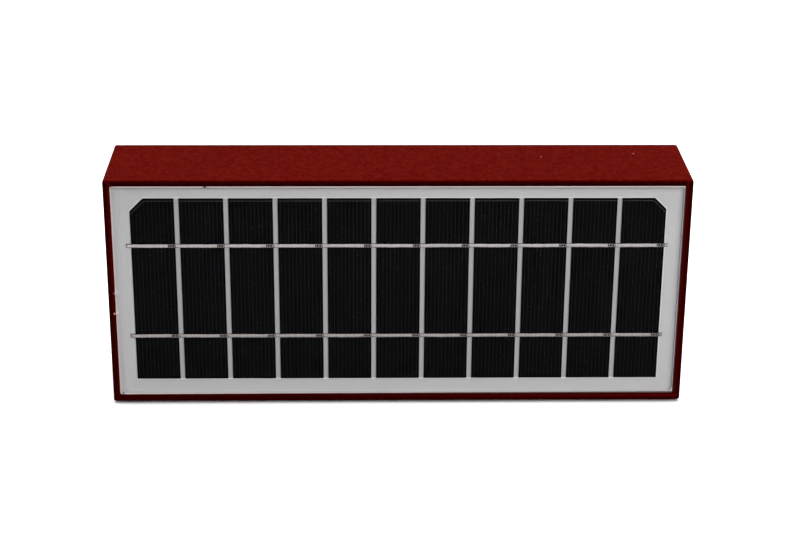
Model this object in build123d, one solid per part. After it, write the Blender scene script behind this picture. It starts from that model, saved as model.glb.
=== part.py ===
from build123d import *
import os

# A solar wall light, in millimetres.
# X runs along the wall, Y from the solar panel to the wall, and Z is up.
# The origin is the middle of the underside, so the light stands on Z = 0.

# Housing: a box of painted sheet, open at the front and at the back
WIDTH = 231.0
HEIGHT = 95.6
DEPTH = 43.1
WALL = 2.7
OUTER_CORNER = 1.1
INNER_CORNER = 0.8
RIM_ROUND = 0.7
BACK_ROUND = 0.4
LIP_LENGTH = 130.0
LIP_DROP = 8.0

# Ledges welded inside the walls
LEDGE_THICK = 1.5
PANEL_LEDGE_WIDTH = 6.0
REAR_LEDGE_WIDTH = 8.0

# Solar panel, layer by layer from the front
PANEL_RECESS = 1.4
PANEL_GAP = 0.5
PANEL_CORNER = 1.6
SHEET_THICK = 0.3
FRONT_FILM = 0.2
CELL_THICK = 0.2
BACK_FILM = 0.5
BOARD_THICK = 1.6

# Solar cells
CELL_COUNT = 11
CELL_GAP = 1.916
CELL_SIDE_MARGIN = 6.72
CELL_TOP_MARGIN = 5.0
CELL_BOTTOM_MARGIN = 6.15
FIRST_CELL_CHAMFER = 5.3
LAST_CELL_CHAMFER = 4.6

# Ribbons that join one cell's face to the back of the cell before it
RIBBON_WIDTH = 1.5
RIBBON_THICK = 0.12
UPPER_RIBBON_SHARE = 0.7435
LOWER_RIBBON_SHARE = 0.244
RIBBON_COVER = 0.83
RIBBON_TAIL = 9.0
FIRST_RIBBON_STUB = 1.9
LAST_RIBBON_STUB = 1.2

# Sealant bead round the panel
BEAD_OVERLAP = 0.5
BEAD_RISE = 0.6
BEAD_SLOPE_ANGLE = 45.0

# Terminal block on the back of the panel
TERMINAL_LENGTH = 20.0
TERMINAL_HEIGHT = 12.0
TERMINAL_DEPTH = 5.0

# Back plate
BACK_RECESS = 8.0
PLATE_THICK = 1.5
PLATE_GAP = 0.5
PLATE_CORNER = 2.0
GASKET_THICK = 1.5
GASKET_INSET = 0.8
PLATE_SCREW_INSET = 4.5
PLATE_SCREW_SIDE = 6.0
PLATE_SCREW_PAST_LIP = 10.0

# Screws, studs and nuts, one size throughout
SCREW_RADIUS = 1.5
SCREW_HEAD_RADIUS = 2.8
SCREW_HEAD_HEIGHT = 2.0
SCREW_HEAD_ROUND = 0.6
DRIVE_WIDTH = 0.9
DRIVE_LENGTH = 3.2
DRIVE_DEPTH = 1.0
SCREW_TIP = 1.0
NUT_FLATS = 5.5
NUT_HEIGHT = 2.4
THREAD_GAP = 0.05
HOLE_GAP = 0.3

# Wall bracket and the screws that lock the light onto it
BRACKET_THICK = 1.5
BRACKET_INSET = 5.0
BRACKET_TONGUE = 5.5
BRACKET_TONGUE_GAP = 0.5
BRACKET_FLOOR_GAP = 0.3
BRACKET_FLANGE = 7.0
SLOT_WIDTH = 5.0
SLOT_LENGTH = 12.0
SLOT_SPACING = 80.0
LOCK_SPACING = 90.0
LOCK_COLLAR_RADIUS = 2.8
LOCK_COLLAR_HEIGHT = 2.5
LOCK_HEAD_RADIUS = 2.9
LOCK_HEAD_DEPTH = 1.5
LOCK_HEAD_GAP = 0.1

# Battery pack
BATTERY_RADIUS = 9.2
BATTERY_LENGTH = 65.0
BATTERY_END_ROUND = 0.8
BATTERY_SPACING = 0.2
BATTERY_INSET = 8.0
LINK_THICK = 0.2
LINK_WIDTH = 8.0
WRAP_GAP = 0.1
WRAP_THICK = 0.3
WRAP_END = 1.0
PAD_THICK = 1.0
STRAP_WIDTH = 12.0
STRAP_THICK = 1.0
STRAP_GAP = 0.2
STRAP_FOOT = 7.5

# Control board
CONTROL_LENGTH = 56.0
CONTROL_HEIGHT = 40.0
CONTROL_THICK = 1.6
CONTROL_INSET = 8.0
CONTROL_HOLE_INSET = 4.0
STANDOFF_RADIUS = 2.75
STANDOFF_HEIGHT = 6.0
SOCKET_WIDTH = 7.5
SOCKET_HEIGHT = 6.0
SOCKET_DEPTH = 7.0
SOCKET_OFFSET = 13.0
COIL_RADIUS = 5.0
COIL_WAIST = 3.8
COIL_RIM = 1.2
COIL_HEIGHT = 6.0
CAPACITOR_RADIUS = 4.0
CAPACITOR_HEIGHT = 11.0
CAPACITOR_ROUND = 0.6
CHIP_HEIGHT = 1.7
DRIVER_LENGTH = 6.0
DRIVER_WIDTH = 5.0
SIDE_CHIP_SIZE = 5.5
SIDE_CHIP_OFFSET = 12.5
SIDE_CHIP_DROP = 3.5
PART_RISE = 9.0

# Lamp bay
LAMP_END_SPACE = 50.0
WINDOW_CORNER = 3.0
WINDOW_GAP = 0.4
LENS_FLANGE = 3.0
LENS_BAY_GAP = 0.75
LENS_THICK = 2.0
LENS_RECESS = 0.6
LENS_GASKET_THICK = 0.8
TRAY_THICK = 1.5
TRAY_ROOM = 12.5
TRAY_FOOT = 12.0
TRAY_GAP = 0.3
LED_BOARD_THICK = 1.6
LED_BOARD_GAP = 1.0
LED_BOARD_END = 6.0
LED_SCREW_INSET = 5.0
LED_LEAD_INSET = 20.0
LED_COUNT = 12
LED_LENGTH = 3.5
LED_WIDTH = 2.8
LED_HEIGHT = 0.8

# Push button and its switch
BUTTON_INSET = 20.0
BUTTON_RADIUS = 4.8
BUTTON_GAP = 0.3
BUTTON_RECESS = 0.5
BUTTON_ROUND = 0.5
BUTTON_FLANGE_RADIUS = 6.4
BUTTON_FLANGE_THICK = 1.5
BUTTON_REST_GAP = 0.2
BUTTON_TRAVEL = 1.5
BUTTON_SPARE = 0.5
STEM_SIZE = 3.0
STEM_LENGTH = 6.0
STEM_GAP = 0.3
SWITCH_SIZE = 8.5
SWITCH_HEIGHT = 8.0
SWITCH_BOARD_LENGTH = 26.0
SWITCH_BOARD_WIDTH = 14.0
SWITCH_BOARD_THICK = 1.6
POST_RADIUS = 2.3
POST_REACH = 9.6
POST_BORE_DEPTH = 7.0

# Leads, in pairs
LEAD_RADIUS = 0.7
LEAD_SPREAD = 0.9
LEAD_BEND = 2.0
LEAD_DROP = 5.0
LEAD_HOLE_RADIUS = 2.6
LEAD_SLACK = 8.0
LEAD_SLACK_RUN = 15.0

# Planes across the depth, from the rim to the wall
FRONT_Y = -DEPTH / 2
BACK_Y = DEPTH / 2
PANEL_Y = FRONT_Y + PANEL_RECESS
FILM_Y = PANEL_Y + SHEET_THICK
CELL_Y = FILM_Y + FRONT_FILM
CELL_BACK_Y = CELL_Y + CELL_THICK
BOARD_Y = CELL_BACK_Y + BACK_FILM
PANEL_BACK_Y = BOARD_Y + BOARD_THICK
PANEL_LEDGE_BACK_Y = PANEL_BACK_Y + LEDGE_THICK
PLATE_BACK_Y = BACK_Y - BACK_RECESS
PLATE_Y = PLATE_BACK_Y - PLATE_THICK
REAR_LEDGE_BACK_Y = PLATE_Y - GASKET_THICK
REAR_LEDGE_Y = REAR_LEDGE_BACK_Y - LEDGE_THICK

# Inside of the walls
INNER_X = WIDTH / 2 - WALL
INNER_BOTTOM = WALL
INNER_TOP = HEIGHT - WALL
MIDDLE_Z = HEIGHT / 2

# Lamp bay, between the panel's ledge and the screws in the rear ledge
BAY_BACK_Y = REAR_LEDGE_Y - NUT_HEIGHT - SCREW_TIP
BAY_Y = (PANEL_LEDGE_BACK_Y + BAY_BACK_Y) / 2
BAY_DEPTH = BAY_BACK_Y - PANEL_LEDGE_BACK_Y
WINDOW_LENGTH = 2 * (INNER_X - LAMP_END_SPACE)
LENS_LENGTH = WINDOW_LENGTH + 2 * LENS_FLANGE
LENS_WIDTH = BAY_DEPTH - 2 * LENS_BAY_GAP
WINDOW_WIDTH = LENS_WIDTH - 2 * LENS_FLANGE
LENS_Z = WALL + LENS_GASKET_THICK
TRAY_Z = LENS_Z + LENS_THICK
LED_BOARD_TOP = TRAY_Z + TRAY_ROOM
LED_BOARD_Z = LED_BOARD_TOP - LED_BOARD_THICK
TRAY_TOP = LED_BOARD_TOP + TRAY_THICK
TRAY_END_X = LENS_LENGTH / 2 + TRAY_GAP
LAMP_STUD_X = TRAY_END_X + TRAY_THICK + (TRAY_FOOT - TRAY_THICK) / 2

# Button and switch, stacked upward from the underside
BUTTON_X = INNER_X - BUTTON_INSET
FLANGE_Z = WALL + BUTTON_REST_GAP
STEM_Z = FLANGE_Z + BUTTON_FLANGE_THICK
SWITCH_Z = STEM_Z + BUTTON_TRAVEL + BUTTON_SPARE
SWITCH_BOARD_Z = SWITCH_Z + SWITCH_HEIGHT
SWITCH_BOARD_TOP = SWITCH_BOARD_Z + SWITCH_BOARD_THICK

# Room for the battery and the control board, between the lamp tray and the top of the rear ledge
ROOM_Z = (TRAY_TOP + INNER_TOP - REAR_LEDGE_WIDTH) / 2

# Battery pack, on the back plate
PACK_RADIUS = BATTERY_RADIUS + WRAP_GAP + WRAP_THICK
PACK_PITCH = 2 * BATTERY_RADIUS + BATTERY_SPACING
PACK_X = -INNER_X + REAR_LEDGE_WIDTH + BATTERY_INSET + BATTERY_LENGTH / 2 + WRAP_END
PACK_Y = PLATE_Y - PAD_THICK - PACK_RADIUS
STRAP_RADIUS = PACK_RADIUS + STRAP_GAP + STRAP_THICK
STRAP_HALF_HEIGHT = PACK_PITCH / 2 + STRAP_RADIUS
STRAP_STUD_RISE = STRAP_HALF_HEIGHT + STRAP_FOOT / 2

# Control board, on the back plate
CONTROL_X = INNER_X - REAR_LEDGE_WIDTH - CONTROL_INSET - CONTROL_LENGTH / 2
CONTROL_BACK_Y = PLATE_Y - STANDOFF_HEIGHT
CONTROL_Y = CONTROL_BACK_Y - CONTROL_THICK
CONTROL_BOTTOM = ROOM_Z - CONTROL_HEIGHT / 2
SOCKET_Y = CONTROL_Y - SOCKET_DEPTH / 2
LED_SOCKET_X = CONTROL_X - SOCKET_OFFSET
PANEL_SOCKET_X = CONTROL_X + SOCKET_OFFSET
BATTERY_SOCKET_X = CONTROL_X - CONTROL_LENGTH / 2
SWITCH_SOCKET_X = CONTROL_X + CONTROL_LENGTH / 2

# Wall bracket
BRACKET_LENGTH = LIP_LENGTH - 2 * BRACKET_INSET
BRACKET_Y = BACK_Y - BRACKET_THICK
LIP_Z = INNER_TOP - LIP_DROP
SHELF_Z = LIP_Z - BRACKET_THICK
TONGUE_BACK_Y = BACK_Y - WALL - BRACKET_TONGUE_GAP
FLANGE_BOTTOM = WALL + BRACKET_FLOOR_GAP
LOCK_Y = BACK_Y - BRACKET_THICK - (BRACKET_FLANGE - BRACKET_THICK) / 2
SLOT_Z = (FLANGE_BOTTOM + LIP_Z) / 2


def block(x_range, y_range, z_range):
    """A box between two values on each axis."""
    (x0, x1), (y0, y1), (z0, z1) = x_range, y_range, z_range
    middle = Pos((x0 + x1) / 2, (y0 + y1) / 2, (z0 + z1) / 2)
    return middle * Box(x1 - x0, y1 - y0, z1 - z0)


def about(middle, size):
    """The two ends of a length centred on a value."""
    return (middle - size / 2, middle + size / 2)


def rod(start, direction, radius, length):
    """A cylinder that runs from a point along a direction."""
    seat = Plane(origin=start, z_dir=direction)
    return seat * Cylinder(radius, length, align=(Align.CENTER, Align.CENTER, Align.MIN))


def upright(half_width, z_range, y_range, radius):
    """A rounded rectangle facing the front, as thick as the Y range."""
    z0, z1 = z_range
    y0, y1 = y_range
    face = Plane(origin=(0, y0, (z0 + z1) / 2), x_dir=(1, 0, 0), z_dir=(0, 1, 0))
    return extrude(face * RectangleRounded(2 * half_width, z1 - z0, radius), amount=y1 - y0)


def flat(length, width, z_range, radius):
    """A rounded rectangle lying over the lamp bay, as thick as the Z range."""
    z0, z1 = z_range
    face = Plane(origin=(0, BAY_Y, z0))
    return extrude(face * RectangleRounded(length, width, radius), amount=z1 - z0)


def inset_frame(outer_inset, inner_inset, y_range):
    """A flat frame that follows the inside of the walls, between two insets from them."""
    frames = []
    for inset in (outer_inset, inner_inset):
        z_range = (INNER_BOTTOM + inset, INNER_TOP - inset)
        frames.append(upright(INNER_X - inset, z_range, y_range, INNER_CORNER))
    return frames[0] - frames[1]


def pan_screw(start, direction, length):
    """A screw whose head stands on a point and whose shank runs along a direction."""
    seat = Plane(origin=start, z_dir=direction)
    up = (Align.CENTER, Align.CENTER, Align.MAX)
    down = (Align.CENTER, Align.CENTER, Align.MIN)
    head = Cylinder(SCREW_HEAD_RADIUS, SCREW_HEAD_HEIGHT, align=up)
    head = fillet(head.edges().sort_by(Axis.Z)[0], SCREW_HEAD_ROUND)
    drive = Box(DRIVE_LENGTH, DRIVE_WIDTH, DRIVE_DEPTH, align=down)
    drive += Box(DRIVE_WIDTH, DRIVE_LENGTH, DRIVE_DEPTH, align=down)
    head -= Pos(0, 0, -SCREW_HEAD_HEIGHT) * drive
    return seat * (head + Cylinder(SCREW_RADIUS, length, align=down))


def hex_nut(start, direction):
    """A nut that stands on a point, over a stud."""
    seat = Plane(origin=start, z_dir=direction)
    body = extrude(RegularPolygon(NUT_FLATS / 2, 6, major_radius=False), amount=NUT_HEIGHT)
    bore = Cylinder(SCREW_RADIUS + THREAD_GAP, 3 * NUT_HEIGHT)
    return seat * (body - bore)


def on_face(shifted, end, neighbour):
    """The end of a shifted wire, kept on the face where its last run ends."""
    return tuple(e if e != n else s for s, e, n in zip(shifted, end, neighbour))


def lead_pair(points):
    """Two wires side by side, straight runs joined by tangent arcs."""
    wires = []
    for side in (-LEAD_SPREAD, LEAD_SPREAD):
        path = [(x + side, y + side, z) for x, y, z in points]
        path[0] = on_face(path[0], points[0], points[1])
        path[-1] = on_face(path[-1], points[-1], points[-2])
        run = FilletPolyline(*path, radius=LEAD_BEND)
        wires.append(sweep(Plane(run @ 0, z_dir=run % 0) * Circle(LEAD_RADIUS), path=run))
    return wires


def group(solids):
    """Separate solids kept together in one node."""
    return Compound(children=list(solids))


TO_FRONT = (0, -1, 0)
TO_WALL = (0, 1, 0)
UP = (0, 0, 1)
DOWN = (0, 0, -1)
MID_MID_MIN = (Align.CENTER, Align.CENTER, Align.MIN)
parts = {}

# Places that more than one piece shares
plate_screw_rows = (INNER_BOTTOM + PLATE_SCREW_INSET, INNER_TOP - PLATE_SCREW_INSET)
plate_screw_reach = (INNER_X - PLATE_SCREW_SIDE, LIP_LENGTH / 2 + PLATE_SCREW_PAST_LIP)
plate_screws = [(side * x, z) for z in plate_screw_rows for x in plate_screw_reach for side in (-1, 1)]
lock_places = [(side * LOCK_SPACING / 2, LOCK_Y) for side in (-1, 1)]
lamp_studs = [(side * LAMP_STUD_X, BAY_Y) for side in (-1, 1)]
strap_studs = [(PACK_X, ROOM_Z + side * STRAP_STUD_RISE) for side in (-1, 1)]
control_hole_x = CONTROL_LENGTH / 2 - CONTROL_HOLE_INSET
control_hole_z = CONTROL_HEIGHT / 2 - CONTROL_HOLE_INSET
control_holes = [
    (CONTROL_X + i * control_hole_x, ROOM_Z + j * control_hole_z) for i in (-1, 1) for j in (-1, 1)
]
switch_posts = [(BUTTON_X + side * POST_REACH, BAY_Y) for side in (-1, 1)]

# Housing: four walls, rounded rims, and a lip at the back that hangs on the wall bracket
outside = upright(WIDTH / 2, (0, HEIGHT), (FRONT_Y, BACK_Y), OUTER_CORNER)
housing = outside - upright(INNER_X, (INNER_BOTTOM, INNER_TOP), (FRONT_Y, BACK_Y), INNER_CORNER)
housing = fillet(housing.edges().group_by(Axis.Y)[0], RIM_ROUND)
housing = fillet(housing.edges().group_by(Axis.Y)[-1], BACK_ROUND)
lip = block(about(0, LIP_LENGTH), (BACK_Y - WALL, BACK_Y), (LIP_Z, INNER_TOP + WALL / 2))
housing += lip
housing -= flat(WINDOW_LENGTH, WINDOW_WIDTH, (0, WALL), WINDOW_CORNER)
housing -= rod((BUTTON_X, BAY_Y, 0), UP, BUTTON_RADIUS + BUTTON_GAP, WALL)
for x, y in lock_places:
    shank = SCREW_RADIUS + HOLE_GAP
    sink = LOCK_HEAD_RADIUS + LOCK_HEAD_GAP
    housing -= rod((x, y, 0), UP, shank, WALL)
    housing -= Pos(x, y, 0) * Cone(sink, shank, LOCK_HEAD_DEPTH + LOCK_HEAD_GAP, align=MID_MID_MIN)
for x, y in lamp_studs:
    housing += rod((x, y, WALL), UP, SCREW_RADIUS, TRAY_THICK + NUT_HEIGHT + SCREW_TIP)
parts["housing"] = housing

# Ledges: the panel is bonded to the front one, the back plate is screwed to the rear one
panel_ledge_y = (PANEL_BACK_Y, PANEL_LEDGE_BACK_Y)
rear_ledge_y = (REAR_LEDGE_Y, REAR_LEDGE_BACK_Y)
parts["panel_ledge"] = inset_frame(0, PANEL_LEDGE_WIDTH, panel_ledge_y)
rear_ledge = inset_frame(0, REAR_LEDGE_WIDTH, rear_ledge_y)
for x, z in plate_screws:
    rear_ledge -= rod((x, REAR_LEDGE_Y, z), TO_WALL, SCREW_RADIUS + HOLE_GAP, LEDGE_THICK)
parts["rear_ledge"] = rear_ledge

# Solar panel: carrier board, cells and ribbons in clear film, and a clear sheet over them
panel_x = INNER_X - PANEL_GAP
panel_z = (INNER_BOTTOM + PANEL_GAP, INNER_TOP - PANEL_GAP)
cell_z = (panel_z[0] + CELL_BOTTOM_MARGIN, panel_z[1] - CELL_TOP_MARGIN)
cell_height = cell_z[1] - cell_z[0]
cells_start = -panel_x + CELL_SIDE_MARGIN
cell_width = (2 * (panel_x - CELL_SIDE_MARGIN) - (CELL_COUNT - 1) * CELL_GAP) / CELL_COUNT
cell_pitch = cell_width + CELL_GAP
cell_y = (CELL_Y, CELL_BACK_Y)
ribbon_front_y = (CELL_Y - RIBBON_THICK, CELL_Y)
ribbon_back_y = (CELL_BACK_Y, CELL_BACK_Y + RIBBON_THICK)


def solar_cell(number):
    """One cell; the first and the last have a corner cut off at the top."""
    left = cells_start + number * cell_pitch
    cell = block((left, left + cell_width), cell_y, cell_z)
    upright_edges = cell.edges().filter_by(Axis.Y).group_by(Axis.Z)[-1].sort_by(Axis.X)
    if number == 0:
        cell = chamfer(upright_edges[0], FIRST_CELL_CHAMFER)
    if number == CELL_COUNT - 1:
        cell = chamfer(upright_edges[-1], LAST_CELL_CHAMFER)
    return cell


def ribbon_row(share):
    """The ribbons of one row, each from the back of a cell to the face of the next."""
    z_range = about(cell_z[0] + share * cell_height, RIBBON_WIDTH)
    row = []
    for number in range(CELL_COUNT + 1):
        left = cells_start + number * cell_pitch
        start = left - CELL_GAP / 2
        pieces = []
        if number < CELL_COUNT:
            begin = left - FIRST_RIBBON_STUB if number == 0 else start
            pieces.append(block((begin, left + RIBBON_COVER * cell_width), ribbon_front_y, z_range))
        if number > 0:
            end = start if number < CELL_COUNT else left - CELL_GAP + LAST_RIBBON_STUB
            pieces.append(block((left - CELL_GAP - RIBBON_TAIL, end), ribbon_back_y, z_range))
        if 0 < number < CELL_COUNT:
            rise = (ribbon_front_y[0], ribbon_back_y[1])
            pieces.append(block((start, start + RIBBON_THICK), rise, z_range))
        row.append(Part() + pieces)
    return row


cells = [solar_cell(number) for number in range(CELL_COUNT)]
upper_ribbons = ribbon_row(UPPER_RIBBON_SHARE)
lower_ribbons = ribbon_row(LOWER_RIBBON_SHARE)
film = upright(panel_x, panel_z, (FILM_Y, BOARD_Y), PANEL_CORNER)
parts["panel_board"] = upright(panel_x, panel_z, (BOARD_Y, PANEL_BACK_Y), PANEL_CORNER)
parts["panel_encapsulant"] = film - cells - upper_ribbons - lower_ribbons
parts["panel_front_sheet"] = upright(panel_x, panel_z, (PANEL_Y, FILM_Y), PANEL_CORNER)
for number, cell in enumerate(cells, start=1):
    parts[f"solar_cell_{number:02d}"] = cell
parts["upper_ribbons"] = group(upper_ribbons)
parts["lower_ribbons"] = group(lower_ribbons)

# Sealant: fills the gap round the panel and laps onto its face with a sloping edge
sealant = inset_frame(0, PANEL_GAP + BEAD_OVERLAP, (PANEL_Y - BEAD_RISE, PANEL_BACK_Y))
sealant -= upright(panel_x, panel_z, (PANEL_Y, PANEL_BACK_Y), PANEL_CORNER)
lap_x = panel_x - BEAD_OVERLAP
lap_height = panel_z[1] - panel_z[0] - 2 * BEAD_OVERLAP
lap_face = Plane(origin=(0, PANEL_Y, MIDDLE_Z), x_dir=(1, 0, 0), z_dir=TO_FRONT)
lap_outline = lap_face * RectangleRounded(2 * lap_x, lap_height, PANEL_CORNER)
sealant -= extrude(lap_outline, amount=BEAD_RISE, taper=-BEAD_SLOPE_ANGLE)
parts["panel_sealant"] = sealant

# Terminal block, bonded to the back of the panel
run_z = CONTROL_BOTTOM - LEAD_DROP
terminal_y = (PANEL_BACK_Y, PANEL_BACK_Y + TERMINAL_DEPTH)
parts["panel_terminal"] = block(
    about(PANEL_SOCKET_X, TERMINAL_LENGTH), terminal_y, about(run_z, TERMINAL_HEIGHT)
)

# Back plate with its gasket, nuts and screws
plate_z = (INNER_BOTTOM + PLATE_GAP, INNER_TOP - PLATE_GAP)
back_plate = upright(INNER_X - PLATE_GAP, plate_z, (PLATE_Y, PLATE_BACK_Y), PLATE_CORNER)
back_gasket = inset_frame(
    GASKET_INSET, REAR_LEDGE_WIDTH - GASKET_INSET, (REAR_LEDGE_BACK_Y, PLATE_Y)
)
screw_length = PLATE_THICK + GASKET_THICK + LEDGE_THICK + NUT_HEIGHT + SCREW_TIP
for x, z in plate_screws:
    passage = rod((x, PLATE_BACK_Y, z), TO_FRONT, SCREW_RADIUS + HOLE_GAP, screw_length)
    back_plate -= passage
    back_gasket -= passage
for x, z in strap_studs:
    back_plate += rod((x, PLATE_Y, z), TO_FRONT, SCREW_RADIUS, STRAP_THICK + NUT_HEIGHT + SCREW_TIP)
parts["back_plate"] = back_plate
parts["back_gasket"] = back_gasket
parts["plate_nuts"] = group(hex_nut((x, REAR_LEDGE_Y, z), TO_FRONT) for x, z in plate_screws)
parts["plate_screws"] = group(
    pan_screw((x, PLATE_BACK_Y, z), TO_FRONT, screw_length) for x, z in plate_screws
)

# Wall bracket: its shelf carries the lip of the housing and its tongue stands behind the lip
bracket_x = about(0, BRACKET_LENGTH)
wall_bracket = block(bracket_x, (BRACKET_Y, BACK_Y), (FLANGE_BOTTOM, LIP_Z))
wall_bracket += block(bracket_x, (TONGUE_BACK_Y - BRACKET_THICK, BACK_Y), (SHELF_Z, LIP_Z))
tongue_y = (TONGUE_BACK_Y - BRACKET_THICK, TONGUE_BACK_Y)
wall_bracket += block(bracket_x, tongue_y, (SHELF_Z, LIP_Z + BRACKET_TONGUE))
flange_top = FLANGE_BOTTOM + BRACKET_THICK
wall_bracket += block(bracket_x, (BACK_Y - BRACKET_FLANGE, BACK_Y), (FLANGE_BOTTOM, flange_top))
for x, y in lock_places:
    wall_bracket += rod((x, y, flange_top), UP, LOCK_COLLAR_RADIUS, LOCK_COLLAR_HEIGHT)
    bore = BRACKET_THICK + LOCK_COLLAR_HEIGHT
    wall_bracket -= rod((x, y, FLANGE_BOTTOM), UP, SCREW_RADIUS + THREAD_GAP, bore)
for side in (-1, 1):
    place = Plane(origin=(side * SLOT_SPACING / 2, BRACKET_Y, SLOT_Z), x_dir=(1, 0, 0), z_dir=TO_WALL)
    wall_bracket -= extrude(place * SlotOverall(SLOT_LENGTH, SLOT_WIDTH), amount=BRACKET_THICK)
parts["wall_bracket"] = wall_bracket


def lock_screw(x, y):
    """A countersunk screw, flush with the underside."""
    head = Cone(LOCK_HEAD_RADIUS, SCREW_RADIUS, LOCK_HEAD_DEPTH, align=MID_MID_MIN)
    drive = Box(DRIVE_LENGTH, DRIVE_WIDTH, DRIVE_DEPTH, align=MID_MID_MIN)
    drive += Box(DRIVE_WIDTH, DRIVE_LENGTH, DRIVE_DEPTH, align=MID_MID_MIN)
    reach = flange_top + LOCK_COLLAR_HEIGHT + SCREW_TIP
    shank = Cylinder(SCREW_RADIUS, reach, align=MID_MID_MIN)
    return Pos(x, y, 0) * (head + shank - drive)


parts["lock_screws"] = group(lock_screw(x, y) for x, y in lock_places)


def pack_slot(radius, length):
    """A bar with the outline of both battery cells side by side."""
    end = Plane(origin=(PACK_X - length / 2, PACK_Y, ROOM_Z), x_dir=UP, z_dir=(1, 0, 0))
    return extrude(end * SlotCenterToCenter(PACK_PITCH, 2 * radius), amount=length)


# Battery pack: two cells joined at both ends, in a wrap, strapped onto a foam pad
for name, side in (("upper", 1), ("lower", -1)):
    start = (PACK_X - BATTERY_LENGTH / 2, PACK_Y, ROOM_Z + side * PACK_PITCH / 2)
    can = rod(start, (1, 0, 0), BATTERY_RADIUS, BATTERY_LENGTH)
    parts[f"battery_cell_{name}"] = fillet(can.edges().filter_by(GeomType.CIRCLE), BATTERY_END_ROUND)
link_ends = (PACK_X - BATTERY_LENGTH / 2 - LINK_THICK, PACK_X + BATTERY_LENGTH / 2)
link_z = about(ROOM_Z, PACK_PITCH + LINK_WIDTH)
parts["battery_links"] = group(
    block((x, x + LINK_THICK), about(PACK_Y, LINK_WIDTH), link_z) for x in link_ends
)
wrap_length = BATTERY_LENGTH + 2 * WRAP_END
wrap = pack_slot(PACK_RADIUS, wrap_length)
parts["battery_wrap"] = wrap - pack_slot(PACK_RADIUS - WRAP_THICK, wrap_length)
pad_y = (PLATE_Y - PAD_THICK, PLATE_Y)
parts["battery_pad"] = block(about(PACK_X, BATTERY_LENGTH), pad_y, about(ROOM_Z, PACK_PITCH))

strap = None
for radius in (STRAP_RADIUS, STRAP_RADIUS - STRAP_THICK):
    half_height = PACK_PITCH / 2 + radius
    legs = block(about(PACK_X, STRAP_WIDTH), (PACK_Y, PLATE_Y), about(ROOM_Z, 2 * half_height))
    layer = pack_slot(radius, STRAP_WIDTH) + legs
    strap = layer if strap is None else strap - layer
behind_plate = (PLATE_Y, PLATE_Y + STRAP_RADIUS)
strap -= block(about(PACK_X, STRAP_WIDTH), behind_plate, about(ROOM_Z, 2 * STRAP_HALF_HEIGHT))
for x, z in strap_studs:
    foot_y = (PLATE_Y - STRAP_THICK, PLATE_Y)
    strap += block(about(x, STRAP_WIDTH), foot_y, about(z, STRAP_FOOT))
    strap -= rod((x, PLATE_Y, z), TO_FRONT, SCREW_RADIUS + HOLE_GAP, STRAP_THICK)
parts["battery_strap"] = strap
nut_seat = PLATE_Y - STRAP_THICK
parts["strap_nuts"] = group(hex_nut((x, nut_seat, z), TO_FRONT) for x, z in strap_studs)

# Control board on standoffs, with the parts it carries
control_x = about(CONTROL_X, CONTROL_LENGTH)
control_board = block(control_x, (CONTROL_Y, CONTROL_BACK_Y), about(ROOM_Z, CONTROL_HEIGHT))
standoffs = []
board_screw_length = CONTROL_THICK + STANDOFF_HEIGHT - SCREW_TIP
for x, z in control_holes:
    passage = rod((x, CONTROL_Y, z), TO_WALL, SCREW_RADIUS + HOLE_GAP, CONTROL_THICK)
    control_board -= passage
    standoff = rod((x, CONTROL_BACK_Y, z), TO_WALL, STANDOFF_RADIUS, STANDOFF_HEIGHT)
    bore = rod((x, CONTROL_BACK_Y, z), TO_WALL, SCREW_RADIUS + THREAD_GAP, STANDOFF_HEIGHT)
    standoffs.append(standoff - bore)
parts["control_board"] = control_board
parts["board_standoffs"] = group(standoffs)
parts["board_screws"] = group(
    pan_screw((x, CONTROL_Y, z), TO_WALL, board_screw_length) for x, z in control_holes
)
chip_y = (CONTROL_Y - CHIP_HEIGHT, CONTROL_Y)
chips = [block(about(CONTROL_X, DRIVER_LENGTH), chip_y, about(ROOM_Z, DRIVER_WIDTH))]
for side in (-1, 1):
    chip_x = about(CONTROL_X + side * SIDE_CHIP_OFFSET, SIDE_CHIP_SIZE)
    chips.append(block(chip_x, chip_y, about(ROOM_Z - SIDE_CHIP_DROP, SIDE_CHIP_SIZE)))
parts["control_chips"] = group(chips)
coil_at = (CONTROL_X - SIDE_CHIP_OFFSET, CONTROL_Y, ROOM_Z + PART_RISE)
coil = rod(coil_at, TO_FRONT, COIL_RADIUS, COIL_HEIGHT)
groove_at = (coil_at[0], CONTROL_Y - COIL_RIM, coil_at[2])
groove = rod(groove_at, TO_FRONT, COIL_RADIUS, COIL_HEIGHT - 2 * COIL_RIM)
parts["charge_coil"] = coil - (groove - rod(groove_at, TO_FRONT, COIL_WAIST, COIL_HEIGHT))
capacitor_at = (CONTROL_X + SIDE_CHIP_OFFSET, CONTROL_Y, ROOM_Z + PART_RISE)
capacitor = rod(capacitor_at, TO_FRONT, CAPACITOR_RADIUS, CAPACITOR_HEIGHT)
top_edge = capacitor.edges().filter_by(GeomType.CIRCLE).sort_by(Axis.Y)[0]
parts["smoothing_capacitor"] = fillet(top_edge, CAPACITOR_ROUND)
socket_y = (CONTROL_Y - SOCKET_DEPTH, CONTROL_Y)
socket_z = (CONTROL_BOTTOM, CONTROL_BOTTOM + SOCKET_HEIGHT)
sockets = []
for x in (LED_SOCKET_X, PANEL_SOCKET_X):
    sockets.append(block(about(x, SOCKET_WIDTH), socket_y, socket_z))
left_socket_x = (BATTERY_SOCKET_X, BATTERY_SOCKET_X + SOCKET_HEIGHT)
right_socket_x = (SWITCH_SOCKET_X - SOCKET_HEIGHT, SWITCH_SOCKET_X)
for x_range in (left_socket_x, right_socket_x):
    sockets.append(block(x_range, socket_y, about(ROOM_Z, SOCKET_WIDTH)))
parts["lead_sockets"] = group(sockets)

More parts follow.
